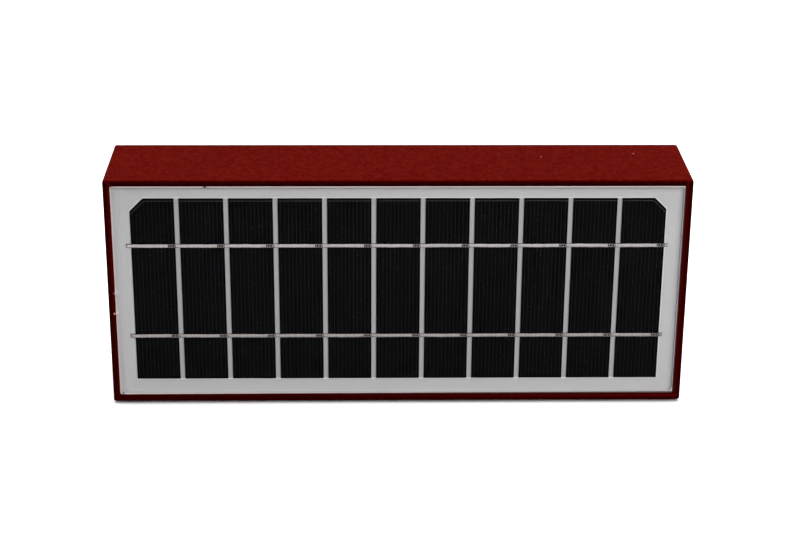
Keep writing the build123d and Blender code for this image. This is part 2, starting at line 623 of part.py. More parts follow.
# Lamp: a lens on a gasket over the window, pressed down by a tray that carries the LED board
lens_z = (LENS_Z, LENS_Z + LENS_THICK)
lens = flat(LENS_LENGTH, LENS_WIDTH, lens_z, WINDOW_CORNER)
insert_corner = WINDOW_CORNER - WINDOW_GAP
insert_size = (WINDOW_LENGTH - 2 * WINDOW_GAP, WINDOW_WIDTH - 2 * WINDOW_GAP)
lens += flat(*insert_size, (LENS_RECESS, LENS_Z), insert_corner)
parts["lamp_lens"] = lens
lens_gasket = flat(LENS_LENGTH, LENS_WIDTH, (WALL, LENS_Z), WINDOW_CORNER)
lens_gasket -= flat(WINDOW_LENGTH, WINDOW_WIDTH, (WALL, LENS_Z), WINDOW_CORNER)
parts["lens_gasket"] = lens_gasket

tray_end = TRAY_END_X + TRAY_THICK
tray_y = about(BAY_Y, LENS_WIDTH)
tray = block((-tray_end, tray_end), tray_y, (TRAY_Z, TRAY_TOP))
hollow_y = about(BAY_Y, LENS_WIDTH - 2 * TRAY_THICK)
tray -= block((-TRAY_END_X, TRAY_END_X), hollow_y, (TRAY_Z, LED_BOARD_TOP))
for side in (-1, 1):
    end_x = sorted((side * TRAY_END_X, side * tray_end))
    foot_x = sorted((side * TRAY_END_X, side * (TRAY_END_X + TRAY_FOOT)))
    tray += block(end_x, tray_y, (WALL, TRAY_Z))
    tray += block(foot_x, tray_y, (WALL, WALL + TRAY_THICK))
for x, y in lamp_studs:
    tray -= rod((x, y, WALL), UP, SCREW_RADIUS + HOLE_GAP, TRAY_THICK)

led_board_length = LENS_LENGTH - 2 * LED_BOARD_END
led_board_width = LENS_WIDTH - 2 * (TRAY_THICK + LED_BOARD_GAP)
led_pitch = (led_board_length - 4 * LED_SCREW_INSET) / LED_COUNT
led_screw_x = led_board_length / 2 - LED_SCREW_INSET
led_lead_x = led_board_length / 2 - LED_LEAD_INSET
led_board_z = (LED_BOARD_Z, LED_BOARD_TOP)
tray -= rod((led_lead_x, BAY_Y, LED_BOARD_TOP), UP, LEAD_HOLE_RADIUS, TRAY_THICK)
led_board = block(about(0, led_board_length), about(BAY_Y, led_board_width), led_board_z)
led_screws = []
for side in (-1, 1):
    led_screw_at = (side * led_screw_x, BAY_Y, LED_BOARD_Z)
    led_board -= rod(led_screw_at, UP, SCREW_RADIUS + HOLE_GAP, LED_BOARD_THICK)
    tray -= rod(led_screw_at, UP, SCREW_RADIUS + THREAD_GAP, LED_BOARD_THICK + TRAY_THICK)
    led_screws.append(pan_screw(led_screw_at, UP, LED_BOARD_THICK + TRAY_THICK))
led_chips = []
for number in range(LED_COUNT):
    led_x = (number - (LED_COUNT - 1) / 2) * led_pitch
    led_z = (LED_BOARD_Z - LED_HEIGHT, LED_BOARD_Z)
    led_chips.append(block(about(led_x, LED_LENGTH), about(BAY_Y, LED_WIDTH), led_z))
parts["lamp_tray"] = tray
parts["lamp_nuts"] = group(hex_nut((x, y, WALL + TRAY_THICK), UP) for x, y in lamp_studs)
parts["led_board"] = led_board
parts["led_chips"] = group(led_chips)
parts["led_screws"] = group(led_screws)

# Push button: pressed upward, its stem slides in the switch above it
button = rod((BUTTON_X, BAY_Y, BUTTON_RECESS), UP, BUTTON_RADIUS, STEM_Z - BUTTON_RECESS)
button = fillet(button.edges().filter_by(GeomType.CIRCLE).sort_by(Axis.Z)[0], BUTTON_ROUND)
button += rod((BUTTON_X, BAY_Y, FLANGE_Z), UP, BUTTON_FLANGE_RADIUS, BUTTON_FLANGE_THICK)
parts["button_pad"] = button
stem_z = (STEM_Z, STEM_Z + STEM_LENGTH)
parts["switch_plunger"] = block(about(BUTTON_X, STEM_SIZE), about(BAY_Y, STEM_SIZE), stem_z)
switch_z = (SWITCH_Z, SWITCH_BOARD_Z)
switch_body = block(about(BUTTON_X, SWITCH_SIZE), about(BAY_Y, SWITCH_SIZE), switch_z)
well_size = STEM_SIZE + 2 * STEM_GAP
well_z = (SWITCH_Z, stem_z[1] + BUTTON_TRAVEL + BUTTON_SPARE)
switch_body -= block(about(BUTTON_X, well_size), about(BAY_Y, well_size), well_z)
parts["switch_body"] = switch_body
switch_board_z = (SWITCH_BOARD_Z, SWITCH_BOARD_TOP)
switch_board = block(
    about(BUTTON_X, SWITCH_BOARD_LENGTH), about(BAY_Y, SWITCH_BOARD_WIDTH), switch_board_z
)
posts = []
for x, y in switch_posts:
    switch_board -= rod((x, y, SWITCH_BOARD_Z), UP, SCREW_RADIUS + HOLE_GAP, SWITCH_BOARD_THICK)
    post = rod((x, y, WALL), UP, POST_RADIUS, SWITCH_BOARD_Z - WALL)
    posts.append(post - rod((x, y, SWITCH_BOARD_Z), DOWN, SCREW_RADIUS + THREAD_GAP, POST_BORE_DEPTH))
parts["switch_board"] = switch_board
parts["switch_posts"] = group(posts)
switch_screw_length = SWITCH_BOARD_THICK + POST_BORE_DEPTH - SCREW_TIP
parts["switch_screws"] = group(
    pan_screw((x, y, SWITCH_BOARD_TOP), DOWN, switch_screw_length) for x, y in switch_posts
)

# Leads: each pair ends face to face on the piece it is soldered to and in its socket
link_x = link_ends[1] + LINK_THICK
slack_start = link_x + LEAD_SLACK_RUN
slack_end = BATTERY_SOCKET_X - LEAD_SLACK_RUN
slack_z = ROOM_Z - LEAD_SLACK
parts["battery_leads"] = group(lead_pair([
    (link_x, SOCKET_Y, ROOM_Z),
    (slack_start, SOCKET_Y, ROOM_Z),
    (slack_start, SOCKET_Y, slack_z),
    (slack_end, SOCKET_Y, slack_z),
    (slack_end, SOCKET_Y, ROOM_Z),
    (BATTERY_SOCKET_X, SOCKET_Y, ROOM_Z),
]))
parts["panel_leads"] = group(lead_pair([
    (PANEL_SOCKET_X, terminal_y[1], run_z),
    (PANEL_SOCKET_X, SOCKET_Y, run_z),
    (PANEL_SOCKET_X, SOCKET_Y, CONTROL_BOTTOM),
]))
parts["led_leads"] = group(lead_pair([
    (led_lead_x, BAY_Y, LED_BOARD_TOP),
    (led_lead_x, BAY_Y, run_z),
    (LED_SOCKET_X, BAY_Y, run_z),
    (LED_SOCKET_X, SOCKET_Y, run_z),
    (LED_SOCKET_X, SOCKET_Y, CONTROL_BOTTOM),
]))
switch_run_x = SWITCH_SOCKET_X + LEAD_SLACK
parts["switch_leads"] = group(lead_pair([
    (BUTTON_X, BAY_Y, SWITCH_BOARD_TOP),
    (BUTTON_X, BAY_Y, run_z),
    (switch_run_x, BAY_Y, run_z),
    (switch_run_x, SOCKET_Y, run_z),
    (switch_run_x, SOCKET_Y, ROOM_Z),
    (SWITCH_SOCKET_X, SOCKET_Y, ROOM_Z),
]))

# One file for each piece
os.makedirs("parts", exist_ok=True)
for name, part in parts.items():
    export_step(part, f"parts/{name}.step")
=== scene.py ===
# %% [markdown]
# # A solar wall light, dressed over its construction model
# The light is a red painted box with a solar panel in its front and a lamp in its underside.
# The construction model already holds every piece at its true size and place, in metres here.
# This lesson gives each piece its finish, and models what is too fine or too uneven for that
# model: the printed lines on the cells, the solder, the hand-run sealant and the small flaws.

# %% Load the construction model
import math

import bmesh
import bpy
from mathutils import Matrix, Vector, noise


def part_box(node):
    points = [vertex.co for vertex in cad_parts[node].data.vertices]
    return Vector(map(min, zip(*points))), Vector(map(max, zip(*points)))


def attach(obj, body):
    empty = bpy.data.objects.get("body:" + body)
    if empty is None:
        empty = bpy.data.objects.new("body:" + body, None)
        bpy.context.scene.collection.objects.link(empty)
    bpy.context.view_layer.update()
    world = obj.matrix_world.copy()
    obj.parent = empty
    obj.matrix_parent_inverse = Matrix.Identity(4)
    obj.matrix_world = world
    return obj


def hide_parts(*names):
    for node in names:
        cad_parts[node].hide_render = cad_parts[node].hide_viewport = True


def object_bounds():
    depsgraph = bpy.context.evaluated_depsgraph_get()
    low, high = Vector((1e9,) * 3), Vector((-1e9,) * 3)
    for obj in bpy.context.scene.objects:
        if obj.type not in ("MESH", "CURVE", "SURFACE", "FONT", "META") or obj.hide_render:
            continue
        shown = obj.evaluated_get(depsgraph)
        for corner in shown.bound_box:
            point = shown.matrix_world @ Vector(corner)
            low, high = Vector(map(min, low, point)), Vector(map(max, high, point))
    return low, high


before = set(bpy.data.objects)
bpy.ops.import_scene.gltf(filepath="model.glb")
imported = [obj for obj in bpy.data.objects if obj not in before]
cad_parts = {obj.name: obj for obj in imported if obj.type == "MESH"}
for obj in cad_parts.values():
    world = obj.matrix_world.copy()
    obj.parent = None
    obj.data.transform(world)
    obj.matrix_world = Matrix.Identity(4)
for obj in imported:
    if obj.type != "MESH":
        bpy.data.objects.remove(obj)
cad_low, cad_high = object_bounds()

MM = 0.001
scene = bpy.context.scene
print("pieces loaded:", len(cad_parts))
print("size in mm:", [round(side / MM, 1) for side in cad_high - cad_low])

# %% [markdown]
# ## The camera
# The photograph was taken from in front of the light and a little above it, with a long lens.
# A camera could be placed by eye, but here its place and lens were worked out from the edges of
# the box and of its cells, so that the two pictures can be laid over each other.

# %% Camera
CAMERA_PLACE = Vector((-0.015628, -0.73052, 0.35169))
CAMERA_AIM = Vector((0.001156, 0.0, 0.050366))
CAMERA_ROLL = math.radians(0.40)
CAMERA_LENS = 86.993
SENSOR_WIDTH = 36.0

camera = bpy.data.objects.new("camera", bpy.data.cameras.new("camera"))
scene.collection.objects.link(camera)
scene.camera = camera
camera.data.lens = CAMERA_LENS
camera.data.sensor_width = SENSOR_WIDTH
camera.location = CAMERA_PLACE
look = (CAMERA_AIM - CAMERA_PLACE).to_track_quat("-Z", "Y").to_matrix()
camera.rotation_euler = (look @ Matrix.Rotation(CAMERA_ROLL, 3, "Z")).to_euler()
scene.view_settings.view_transform = "Standard"
print("camera height in mm:", round(CAMERA_PLACE.z / MM))

# %% [markdown]
# ## Tools for finishes
# Every finish of the light is one Principled shader. What is the same all over is set on the
# shader's own sockets, and what varies comes from noise in the object's own space, so a blotch
# of 2 mm is 2 mm on every piece. Pictures of real surfaces could give the detail instead, but
# they need unwrapping and blur when seen close. Each small helper adds one kind of variation.

# %% Start of a finish
def shader_of(finish):
    return finish.node_tree.nodes["Principled BSDF"]

def start_finish(name, colour, roughness, metallic=0.0, specular=0.5):
    """A new finish with its fixed values on the shader's own sockets."""
    finish = bpy.data.materials.new(name)
    finish.use_nodes = True
    shader = shader_of(finish)
    shader.inputs["Base Color"].default_value = (*colour, 1)
    shader.inputs["Roughness"].default_value = roughness
    shader.inputs["Metallic"].default_value = metallic
    shader.inputs["Specular IOR Level"].default_value = specular
    return finish

def shaded(colour, factor):
    """The same colour, lighter or darker."""
    return tuple(channel * factor for channel in colour)

print("start of a finish ready")

# %% Place of a point
EVEN = (1, 1, 1)

def place_in(finish, stretch=EVEN):
    """The point on the piece, in metres, divided by how far the pattern is drawn out each way."""
    tree = finish.node_tree
    place = tree.nodes.new("ShaderNodeTexCoord")
    scaled = tree.nodes.new("ShaderNodeMapping")
    scaled.inputs["Scale"].default_value = tuple(1 / side for side in stretch)
    tree.links.new(place.outputs["Object"], scaled.inputs["Vector"])
    return scaled.outputs["Vector"]

def axes_of(finish):
    """The X, Y and Z of the point on the piece, as separate outputs."""
    split = finish.node_tree.nodes.new("ShaderNodeSeparateXYZ")
    finish.node_tree.links.new(place_in(finish), split.inputs[0])
    return split.outputs

print("place helpers ready")

# %% Patterns
NOISE_SPAN = (0.3, 0.7)

def blotches(finish, size, detail=3.0, stretch=EVEN):
    """Soft noise round 0.5 whose blotches are about one size across."""
    tree = finish.node_tree
    noisy = tree.nodes.new("ShaderNodeTexNoise")
    noisy.inputs["Scale"].default_value = 1 / size
    noisy.inputs["Detail"].default_value = detail
    tree.links.new(place_in(finish, stretch), noisy.inputs["Vector"])
    return noisy.outputs["Fac"]

def spread(finish, value, low, high, out_low=0.0, out_high=1.0):
    """Map the values from low to high onto a new range, and hold them inside it."""
    tree = finish.node_tree
    ranged = tree.nodes.new("ShaderNodeMapRange")
    numbers = (low, high, out_low, out_high)
    for socket, number in zip(("From Min", "From Max", "To Min", "To Max"), numbers):
        ranged.inputs[socket].default_value = number
    tree.links.new(value, ranged.inputs["Value"])
    return ranged.outputs["Result"]

def cloud(finish, size, detail=3.0, stretch=EVEN, span=NOISE_SPAN):
    """Blotches whose values are spread out to fill the range from 0 to 1."""
    return spread(finish, blotches(finish, size, detail, stretch), *span)

print("patterns ready")

# %% Colour, gloss and bumps
def mixed(finish, factor, first, second):
    """One colour at factor 0 and another at factor 1; a colour may itself come from a node."""
    tree = finish.node_tree
    mix = tree.nodes.new("ShaderNodeMix")
    mix.data_type = "RGBA"
    tree.links.new(factor, mix.inputs["Factor"])
    for socket, colour in (("A", first), ("B", second)):
        if isinstance(colour, tuple):
            mix.inputs[socket].default_value = (*colour, 1)
        else:
            tree.links.new(colour, mix.inputs[socket])
    return mix.outputs["Result"]

def drifting(finish, mask, colour, darker, lighter):
    """A colour that runs from one shade of itself to another along a mask."""
    return mixed(finish, mask, shaded(colour, darker), shaded(colour, lighter))

def paint_colour(finish, colour):
    finish.node_tree.links.new(colour, shader_of(finish).inputs["Base Color"])

def vary_roughness(finish, value, low, high):
    rough = spread(finish, value, *NOISE_SPAN, low, high)
    finish.node_tree.links.new(rough, shader_of(finish).inputs["Roughness"])

def raise_bumps(finish, value, depth):
    """Bumps that are as deep as depth, in metres."""
    tree = finish.node_tree
    bump = tree.nodes.new("ShaderNodeBump")
    bump.inputs["Distance"].default_value = depth
    tree.links.new(value, bump.inputs["Height"])
    tree.links.new(bump.outputs["Normal"], shader_of(finish).inputs["Normal"])

print("finish helpers ready")

# %% [markdown]
# ## The studio floor
# The light stands on a white table. A flat plane would show its far edge in low views, so the
# floor is a wide dish instead: flat in the middle and turned up at its rim. It lies a hair below
# the box, which leaves a thin dark line under the box's edges. Under the light it has an opening,
# which lets the underside be looked at from below.

# %% Opening in the floor
FLOOR_SIDES = 96
OPENING_INSET = 6.0 * MM
NEARLY_ZERO = 1e-6

opening_x = cad_high.x - OPENING_INSET
opening_y = cad_high.y - OPENING_INSET
corner = math.atan2(opening_y, opening_x)
angles = [2 * math.pi * side / FLOOR_SIDES for side in range(FLOOR_SIDES)]
angles += [corner, math.pi - corner, math.pi + corner, 2 * math.pi - corner]
angles.sort()

def opening_radius(angle):
    """Distance from the middle to the edge of the opening, in one direction."""
    across = opening_x / max(abs(math.cos(angle)), NEARLY_ZERO)
    along = opening_y / max(abs(math.sin(angle)), NEARLY_ZERO)
    return min(across, along)

print("opening in mm:", round(2 * opening_x / MM, 1), round(2 * opening_y / MM, 1))

# %% Floor
FLOOR_RADIUS = 2.2
INNER_RADIUS = 2 * cad_high.x
COVE_RADIUS = 0.6
COVE_STEPS = 8
FLOOR_DROP = 0.8 * MM

def floor_ring(mesh, radii, height):
    """One ring of corners, with a radius for each of the angles."""
    places = [(r * math.cos(a), r * math.sin(a), height) for r, a in zip(radii, angles)]
    return [mesh.verts.new(place) for place in places]

def bridge(mesh, before, after):
    """Close the space between two rings of corners with four-sided faces."""
    for i in range(len(before)):
        j = (i + 1) % len(before)
        mesh.faces.new((before[i], before[j], after[j], after[i]))

mesh = bmesh.new()
rings = [floor_ring(mesh, [opening_radius(angle) for angle in angles], -FLOOR_DROP)]
for radius in (INNER_RADIUS, FLOOR_RADIUS):
    rings.append(floor_ring(mesh, [radius] * len(angles), -FLOOR_DROP))
for step in range(1, COVE_STEPS + 1):
    turn = math.pi / 2 * step / COVE_STEPS
    radius = FLOOR_RADIUS + COVE_RADIUS * math.sin(turn)
    height = COVE_RADIUS * (1 - math.cos(turn)) - FLOOR_DROP
    rings.append(floor_ring(mesh, [radius] * len(angles), height))
for inner, outer in zip(rings, rings[1:]):
    bridge(mesh, outer, inner)
for face in mesh.faces:
    face.smooth = True
floor = bpy.data.objects.new("studio_floor", bpy.data.meshes.new("studio_floor"))
mesh.to_mesh(floor.data)
mesh.free()
scene.collection.objects.link(floor)
print("floor across in m:", round(2 * (FLOOR_RADIUS + COVE_RADIUS), 2))

# %% [markdown]
# The floor's finish knows who is looking. To the camera, and in gloss and clear surfaces, it is
# a white with a glow of its own, so that it stays white beside the box. The glow fades out close
# to the box, which leaves the thin dark shadow under it. To the soft light that bounces between
# surfaces the floor is dark, because the front of the box is lit far less than its top. More lamp
# light would make the floor white too, but it would wash out the box.

# %% Arithmetic on nodes
def arith(tree, operation, first, second=None):
    """One arithmetic node on sockets or plain numbers."""
    node = tree.nodes.new("ShaderNodeMath")
    node.operation = operation
    for socket, value in zip(node.inputs, (first, second)):
        if isinstance(value, (int, float)):
            socket.default_value = value
        elif value:
            tree.links.new(value, socket)
    return node.outputs[0]

def looked_at(tree):
    """1 for rays of the camera, also those that went by a gloss or through something clear."""
    path = tree.nodes.new("ShaderNodeLightPath").outputs
    seen = arith(tree, "MAXIMUM", path["Is Camera Ray"], path["Is Glossy Ray"])
    return arith(tree, "MAXIMUM", seen, path["Is Transmission Ray"])

print("arithmetic helpers ready")

# %% Floor finish
FLOOR_WHITE = (0.97, 0.97, 0.97)
FLOOR_BOUNCE = (0.10, 0.10, 0.10)
FLOOR_GLOW = 0.45
FADE_BEFORE = 2.4 * MM
FADE_BESIDE = 1.4 * MM

floor_finish = bpy.data.materials.new("studio_floor")
floor_finish.use_nodes = True
tree = floor_finish.node_tree
tree.nodes.remove(tree.nodes["Principled BSDF"])
seen = looked_at(tree)
matt = tree.nodes.new("ShaderNodeBsdfDiffuse")
tree.links.new(mixed(floor_finish, seen, FLOOR_BOUNCE, FLOOR_WHITE), matt.inputs["Color"])

place = axes_of(floor_finish)
beside = arith(tree, "SUBTRACT", arith(tree, "ABSOLUTE", place["X"]), cad_high.x)
before = arith(tree, "SUBTRACT", arith(tree, "ABSOLUTE", place["Y"]), cad_high.y)
beside = spread(floor_finish, beside, 0.0, FADE_BESIDE)
before = spread(floor_finish, before, 0.0, FADE_BEFORE)
away = arith(tree, "MAXIMUM", beside, before)
glow = tree.nodes.new("ShaderNodeEmission")
strength = arith(tree, "MULTIPLY", arith(tree, "MULTIPLY", away, FLOOR_GLOW), seen)
tree.links.new(strength, glow.inputs["Strength"])
both = tree.nodes.new("ShaderNodeAddShader")
tree.links.new(matt.outputs[0], both.inputs[0])
tree.links.new(glow.outputs[0], both.inputs[1])
tree.links.new(both.outputs[0], tree.nodes["Material Output"].inputs["Surface"])
floor.data.materials.append(floor_finish)
print("floor made:", floor.name)

# %% [markdown]
# ## The lamps
# One very large soft box hangs above the table and makes the floor and the top bright. A weaker
# one stands in front on the right and lights the panel evenly. Two weak ones behind light the
# back and the sides for the other views, and one below the table lights the underside through
# the opening. Small lamps would be simpler, but would leave hard shadows that the photograph
# lacks. The world adds a dim even grey, and is white where the camera sees past the floor, also
# in metal and gloss.

# %% Lamps
LAMP_AIM = Vector((0.0, 0.0, 0.05))

# Name, place, width and height in metres, and watts.
SOFT_BOXES = [
    ("overhead_box", (0.05, 0.35, 1.8), 2.4, 1.8, 53.0),
    ("front_box", (0.68, -1.15, 0.72), 1.4, 1.4, 16.8),
    ("back_left_box", (-1.9, 1.1, 0.9), 1.0, 1.0, 9.0),
    ("back_right_box", (1.9, 1.1, 0.9), 1.0, 1.0, 5.0),
    ("under_box", (0.0, -0.3, -0.9), 1.0, 1.0, 9.0),
]
for name, place, width, height, watts in SOFT_BOXES:
    lamp = bpy.data.lights.new(name, "AREA")
    lamp.shape = "RECTANGLE"
    lamp.size = width
    lamp.size_y = height
    lamp.energy = watts
    holder = bpy.data.objects.new(name, lamp)
    holder.location = place
    holder.rotation_euler = (LAMP_AIM - Vector(place)).to_track_quat("-Z", "Y").to_euler()
    scene.collection.objects.link(holder)
print("lamps:", len(SOFT_BOXES))

# %% World
WORLD_WHITE = (1.0, 1.0, 1.0, 1.0)
WORLD_DIM = 0.12

scene.world = bpy.data.worlds.new("studio_world")
scene.world.use_nodes = True
tree = scene.world.node_tree
background = tree.nodes["Background"]
background.inputs["Color"].default_value = WORLD_WHITE
level = arith(tree, "MAXIMUM", looked_at(tree), WORLD_DIM)
tree.links.new(level, background.inputs["Strength"])
print("world level:", WORLD_DIM)

# %% [markdown]
# ## The rim of the painted box
# The box is sprayed with dry paint powder and baked. The narrow front rim and the inside of the
# opening are painted darker, as painted shade, with strips of painted highlight along the rim
# and the darkest painted shade along the inside of the top. The rim could be a piece of its own
# with its own paint, but the real box has no seam there, so masks in the one finish find the rim
# by its place.

# %% Mask of the rim's painted shade
RIM_FRONT = (cad_low.y + 0.20 * MM, cad_low.y + 0.05 * MM)
LIP_DEPTH = (cad_low.y + 1.5 * MM, cad_low.y + 1.2 * MM)
LIP_INSET = 0.8 * MM
LIP_FADE = 0.32 * MM

def rim_shade_mask(finish, place):
    """1 on the front rim and round into the opening, where shade is painted, 0 on the outside of
    the box.
    """
    tree = finish.node_tree
    middle = cad_high.z / 2
    front = spread(finish, place["Y"], *RIM_FRONT)
    lip = spread(finish, place["Y"], *LIP_DEPTH)
    beside = arith(tree, "SUBTRACT", arith(tree, "ABSOLUTE", place["X"]), cad_high.x - LIP_INSET)
    height = arith(tree, "ABSOLUTE", arith(tree, "SUBTRACT", place["Z"], middle))
    above = arith(tree, "SUBTRACT", height, middle - LIP_INSET)
    inside = spread(finish, arith(tree, "MAXIMUM", beside, above), 0.0, -LIP_FADE)
    return arith(tree, "MAXIMUM", front, arith(tree, "MULTIPLY", inside, lip))

print("rim starts inside the box by mm:", round(LIP_INSET / MM, 1))

# %% Strips of painted highlight and shade on the rim
PAINT_RED = (0.094, 0.0015, 0.0002)
# How dark the rim's red is painted, as painted shade.
RIM_SHADE_TONE = 0.33
BAND_CORE = 0.4

# Strips of painted highlight and shade on the rim: the axis across it, its middle, half its width
# and its tone. Then, if the strip is not the same all along, the axis along it and the places
# where it starts and is full.
RIM_LIGHT_AND_SHADE_STRIPS = [
    ("Z", cad_high.z - 0.5 * MM, 0.9 * MM, 0.50, None),
    ("Z", cad_high.z - 2.5 * MM, 1.3 * MM, 0.18, None),
    ("X", cad_high.x - 2.35 * MM, 0.7 * MM, 0.92, None),
    ("X", cad_low.x + 2.3 * MM, 0.9 * MM, 0.75, ("Z", -20 * MM, 60 * MM)),
    ("Z", cad_low.z + 2.0 * MM, 0.6 * MM, 0.95, ("X", -40 * MM, 95 * MM)),
]

def band(finish, value, middle, half):
    """1 along the middle of a strip, falling to 0 at its two edges."""
    away = arith(finish.node_tree, "SUBTRACT", value, middle)
    return spread(finish, arith(finish.node_tree, "ABSOLUTE", away), half, BAND_CORE * half)

def rim_painted_shading(finish, place):
    """The painted-shade red of the rim, with its strips of painted highlight and shade."""
    red = shaded(PAINT_RED, RIM_SHADE_TONE)
    for axis, middle, half, tone, along in RIM_LIGHT_AND_SHADE_STRIPS:
        factor = band(finish, place[axis], middle, half)
        if along:
            fade = spread(finish, place[along[0]], along[1], along[2])
            factor = arith(finish.node_tree, "MULTIPLY", factor, fade)
        red = mixed(finish, factor, red, shaded(PAINT_RED, tone))
    return red

print("strips of the rim:", len(RIM_LIGHT_AND_SHADE_STRIPS))

# %% [markdown]
# ## Powder coat
# Baked powder leaves a fine orange-peel skin. A plain red would look like plastic, so one noise
# mottles it, a larger one lets the red drift, and a third raises the skin. The grain is drawn out
# a little along the box. The back edges are painted darker, as painted shade. Two dust nibs show
# on the top, and two smears of sealant on the left of the rim.

# %% Specks on the paint
DUST_GREY = (0.70, 0.54, 0.50)
SMEAR_PINK = (0.80, 0.36, 0.37)
SPECK_CORE = 0.5

# Each speck has a place, a radius and a colour.
PAINT_SPECKS = [
    ((58.0 * MM, 6.2 * MM, cad_high.z), 0.24 * MM, DUST_GREY),
    ((95.8 * MM, 10.1 * MM, cad_high.z), 0.32 * MM, DUST_GREY),
    ((-113.05 * MM, cad_low.y, 47.9 * MM), 0.42 * MM, shaded(SMEAR_PINK, 0.5)),
    ((-113.15 * MM, cad_low.y, 39.0 * MM), 0.62 * MM, SMEAR_PINK),
]

def distance_from(finish, point):
    """Distance from a fixed point, in metres."""
    tree = finish.node_tree
    gap = tree.nodes.new("ShaderNodeVectorMath")
    gap.operation = "DISTANCE"
    gap.inputs[1].default_value = point
    tree.links.new(place_in(finish), gap.inputs[0])
    return gap.outputs["Value"]

def with_specks(finish, colour, specks):
    """A colour with small round specks of other colours on it."""
    for point, radius, mark in specks:
        speck = spread(finish, distance_from(finish, point), radius, SPECK_CORE * radius)
        colour = mixed(finish, speck, colour, mark)
    return colour

print("specks on the paint:", len(PAINT_SPECKS))

# %% Powder coat
PAINT_DARK = (0.061, 0.0, 0.0)
PAINT_PALE = (0.099, 0.0035, 0.0005)
PAINT_ROUGHNESS = 0.6
PAINT_GLOSS = 0.006
GRAIN_SIZE = 0.8 * MM
GRAIN_STRETCH = (1.5, 1.2, 1)
GRAIN_SPAN = (0.38, 0.66)
DRIFT_SIZE = 30 * MM
DARK_DRIFT = (1.0, 1.08)
PALE_DRIFT = (1.0, 1.05)
PEEL_SIZE = 0.7 * MM
PEEL_DEPTH = 0.035 * MM
BACK_SHADE_TONE = 0.62
BACK_EDGE = (cad_high.y - 1.1 * MM, cad_high.y - 0.5 * MM)

def powder_coat():
    finish = start_finish("powder_coat", PAINT_RED, PAINT_ROUGHNESS, specular=PAINT_GLOSS)
    mottle = cloud(finish, GRAIN_SIZE, detail=1.0, stretch=GRAIN_STRETCH, span=GRAIN_SPAN)
    drift = cloud(finish, DRIFT_SIZE, detail=2.0)
    dark = drifting(finish, drift, PAINT_DARK, *DARK_DRIFT)
    pale = drifting(finish, drift, PAINT_PALE, *PALE_DRIFT)
    red = mixed(finish, mottle, dark, pale)
    place = axes_of(finish)
    # The front rim and the inside of the opening take their painted shade and highlights.
    red = mixed(finish, rim_shade_mask(finish, place), red, rim_painted_shading(finish, place))
    # A painted shade along the back edges.
    back = spread(finish, place["Y"], *BACK_EDGE)
    red = mixed(finish, back, red, shaded(PAINT_RED, BACK_SHADE_TONE))
    paint_colour(finish, with_specks(finish, red, PAINT_SPECKS))
    vary_roughness(finish, blotches(finish, size=4 * MM), low=0.55, high=0.66)
    peel = blotches(finish, PEEL_SIZE, detail=2.0, stretch=GRAIN_STRETCH)
    raise_bumps(finish, peel, PEEL_DEPTH)
    return finish

finishes = {"red_paint": powder_coat()}
print("made:", finishes["red_paint"].name)

# %% [markdown]
# ## The panel's white laminate
# The cells lie on a white laminate that is not quite even. On it are painted a shade along the
# right-hand sealant and between the cells, and a thin line of painted light round the row of
# cells.
# Thin strips of other whites could be laid on it, but their edges would show, so the finish works
# out how far each point lies from the outline of the row and picks its white from that.

# %% Outline of the row of cells
FIRST_CHAMFER = 5.3 * MM
LAST_CHAMFER = 4.6 * MM

def past_cells(finish, place):
    """How far a point lies outside the outline of the whole row of cells, negative inside it."""
    tree = finish.node_tree
    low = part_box("solar_cell_01")[0]
    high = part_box("solar_cell_11")[1]
    left = arith(tree, "SUBTRACT", low.x, place["X"])
    right = arith(tree, "SUBTRACT", place["X"], high.x)
    below = arith(tree, "SUBTRACT", low.z, place["Z"])
    above = arith(tree, "SUBTRACT", place["Z"], high.z)
    past = arith(tree, "MAXIMUM", left, right)
    past = arith(tree, "MAXIMUM", past, arith(tree, "MAXIMUM", below, above))
    for side, cut in ((left, FIRST_CHAMFER), (right, LAST_CHAMFER)):
        corner = arith(tree, "ADD", arith(tree, "ADD", side, above), cut)
        past = arith(tree, "MAXIMUM", past, arith(tree, "MULTIPLY", corner, math.sqrt(0.5)))
    return past

print("cut corners in mm:", round(FIRST_CHAMFER / MM, 1), round(LAST_CHAMFER / MM, 1))

# %% White laminate
LAMINATE_WHITE = (0.757, 0.747, 0.757)
LAMINATE_DRIFT = (0.97, 1.02)
# A painted shade along the right-hand sealant and between the cells, and a thin line of painted
# light round the row of cells.
RIGHT_SHADE_MARGIN = (109.8 * MM, 112.0 * MM)
RIGHT_SHADE_TONE = 0.88
GAP_SHADE_TONE = 0.76
LIGHT_LINE_WHITE = (0.98, 0.97, 0.98)
EDGE_MIDDLE = 0.2 * MM
EDGE_HALF = 0.4 * MM

def white_laminate():
    finish = start_finish("white_laminate", LAMINATE_WHITE, roughness=0.5, specular=0.25)
    drift = cloud(finish, size=14 * MM, detail=2.0)
    fine = cloud(finish, size=0.5 * MM)
    soft = drifting(finish, drift, LAMINATE_WHITE, *LAMINATE_DRIFT)
    white = mixed(finish, fine, soft, LAMINATE_WHITE)
    place = axes_of(finish)
    # Painted shade along the right-hand sealant.
    right_shade = spread(finish, place["X"], *RIGHT_SHADE_MARGIN)
    white = mixed(finish, right_shade, white, shaded(LAMINATE_WHITE, RIGHT_SHADE_TONE))
    # Painted shade between the cells, and a thin line of painted light round the row.
    past = past_cells(finish, place)
    between = spread(finish, past, 0.0, -EDGE_HALF)
    white = mixed(finish, between, white, shaded(LAMINATE_WHITE, GAP_SHADE_TONE))
    edge = band(finish, past, EDGE_MIDDLE, EDGE_HALF)
    paint_colour(finish, mixed(finish, edge, white, LIGHT_LINE_WHITE))
    vary_roughness(finish, blotches(finish, size=3 * MM), low=0.42, high=0.55)
    raise_bumps(finish, blotches(finish, size=0.8 * MM), depth=0.004 * MM)
    return finish

finishes["white_board"] = white_laminate()
print("made:", finishes["white_board"].name)

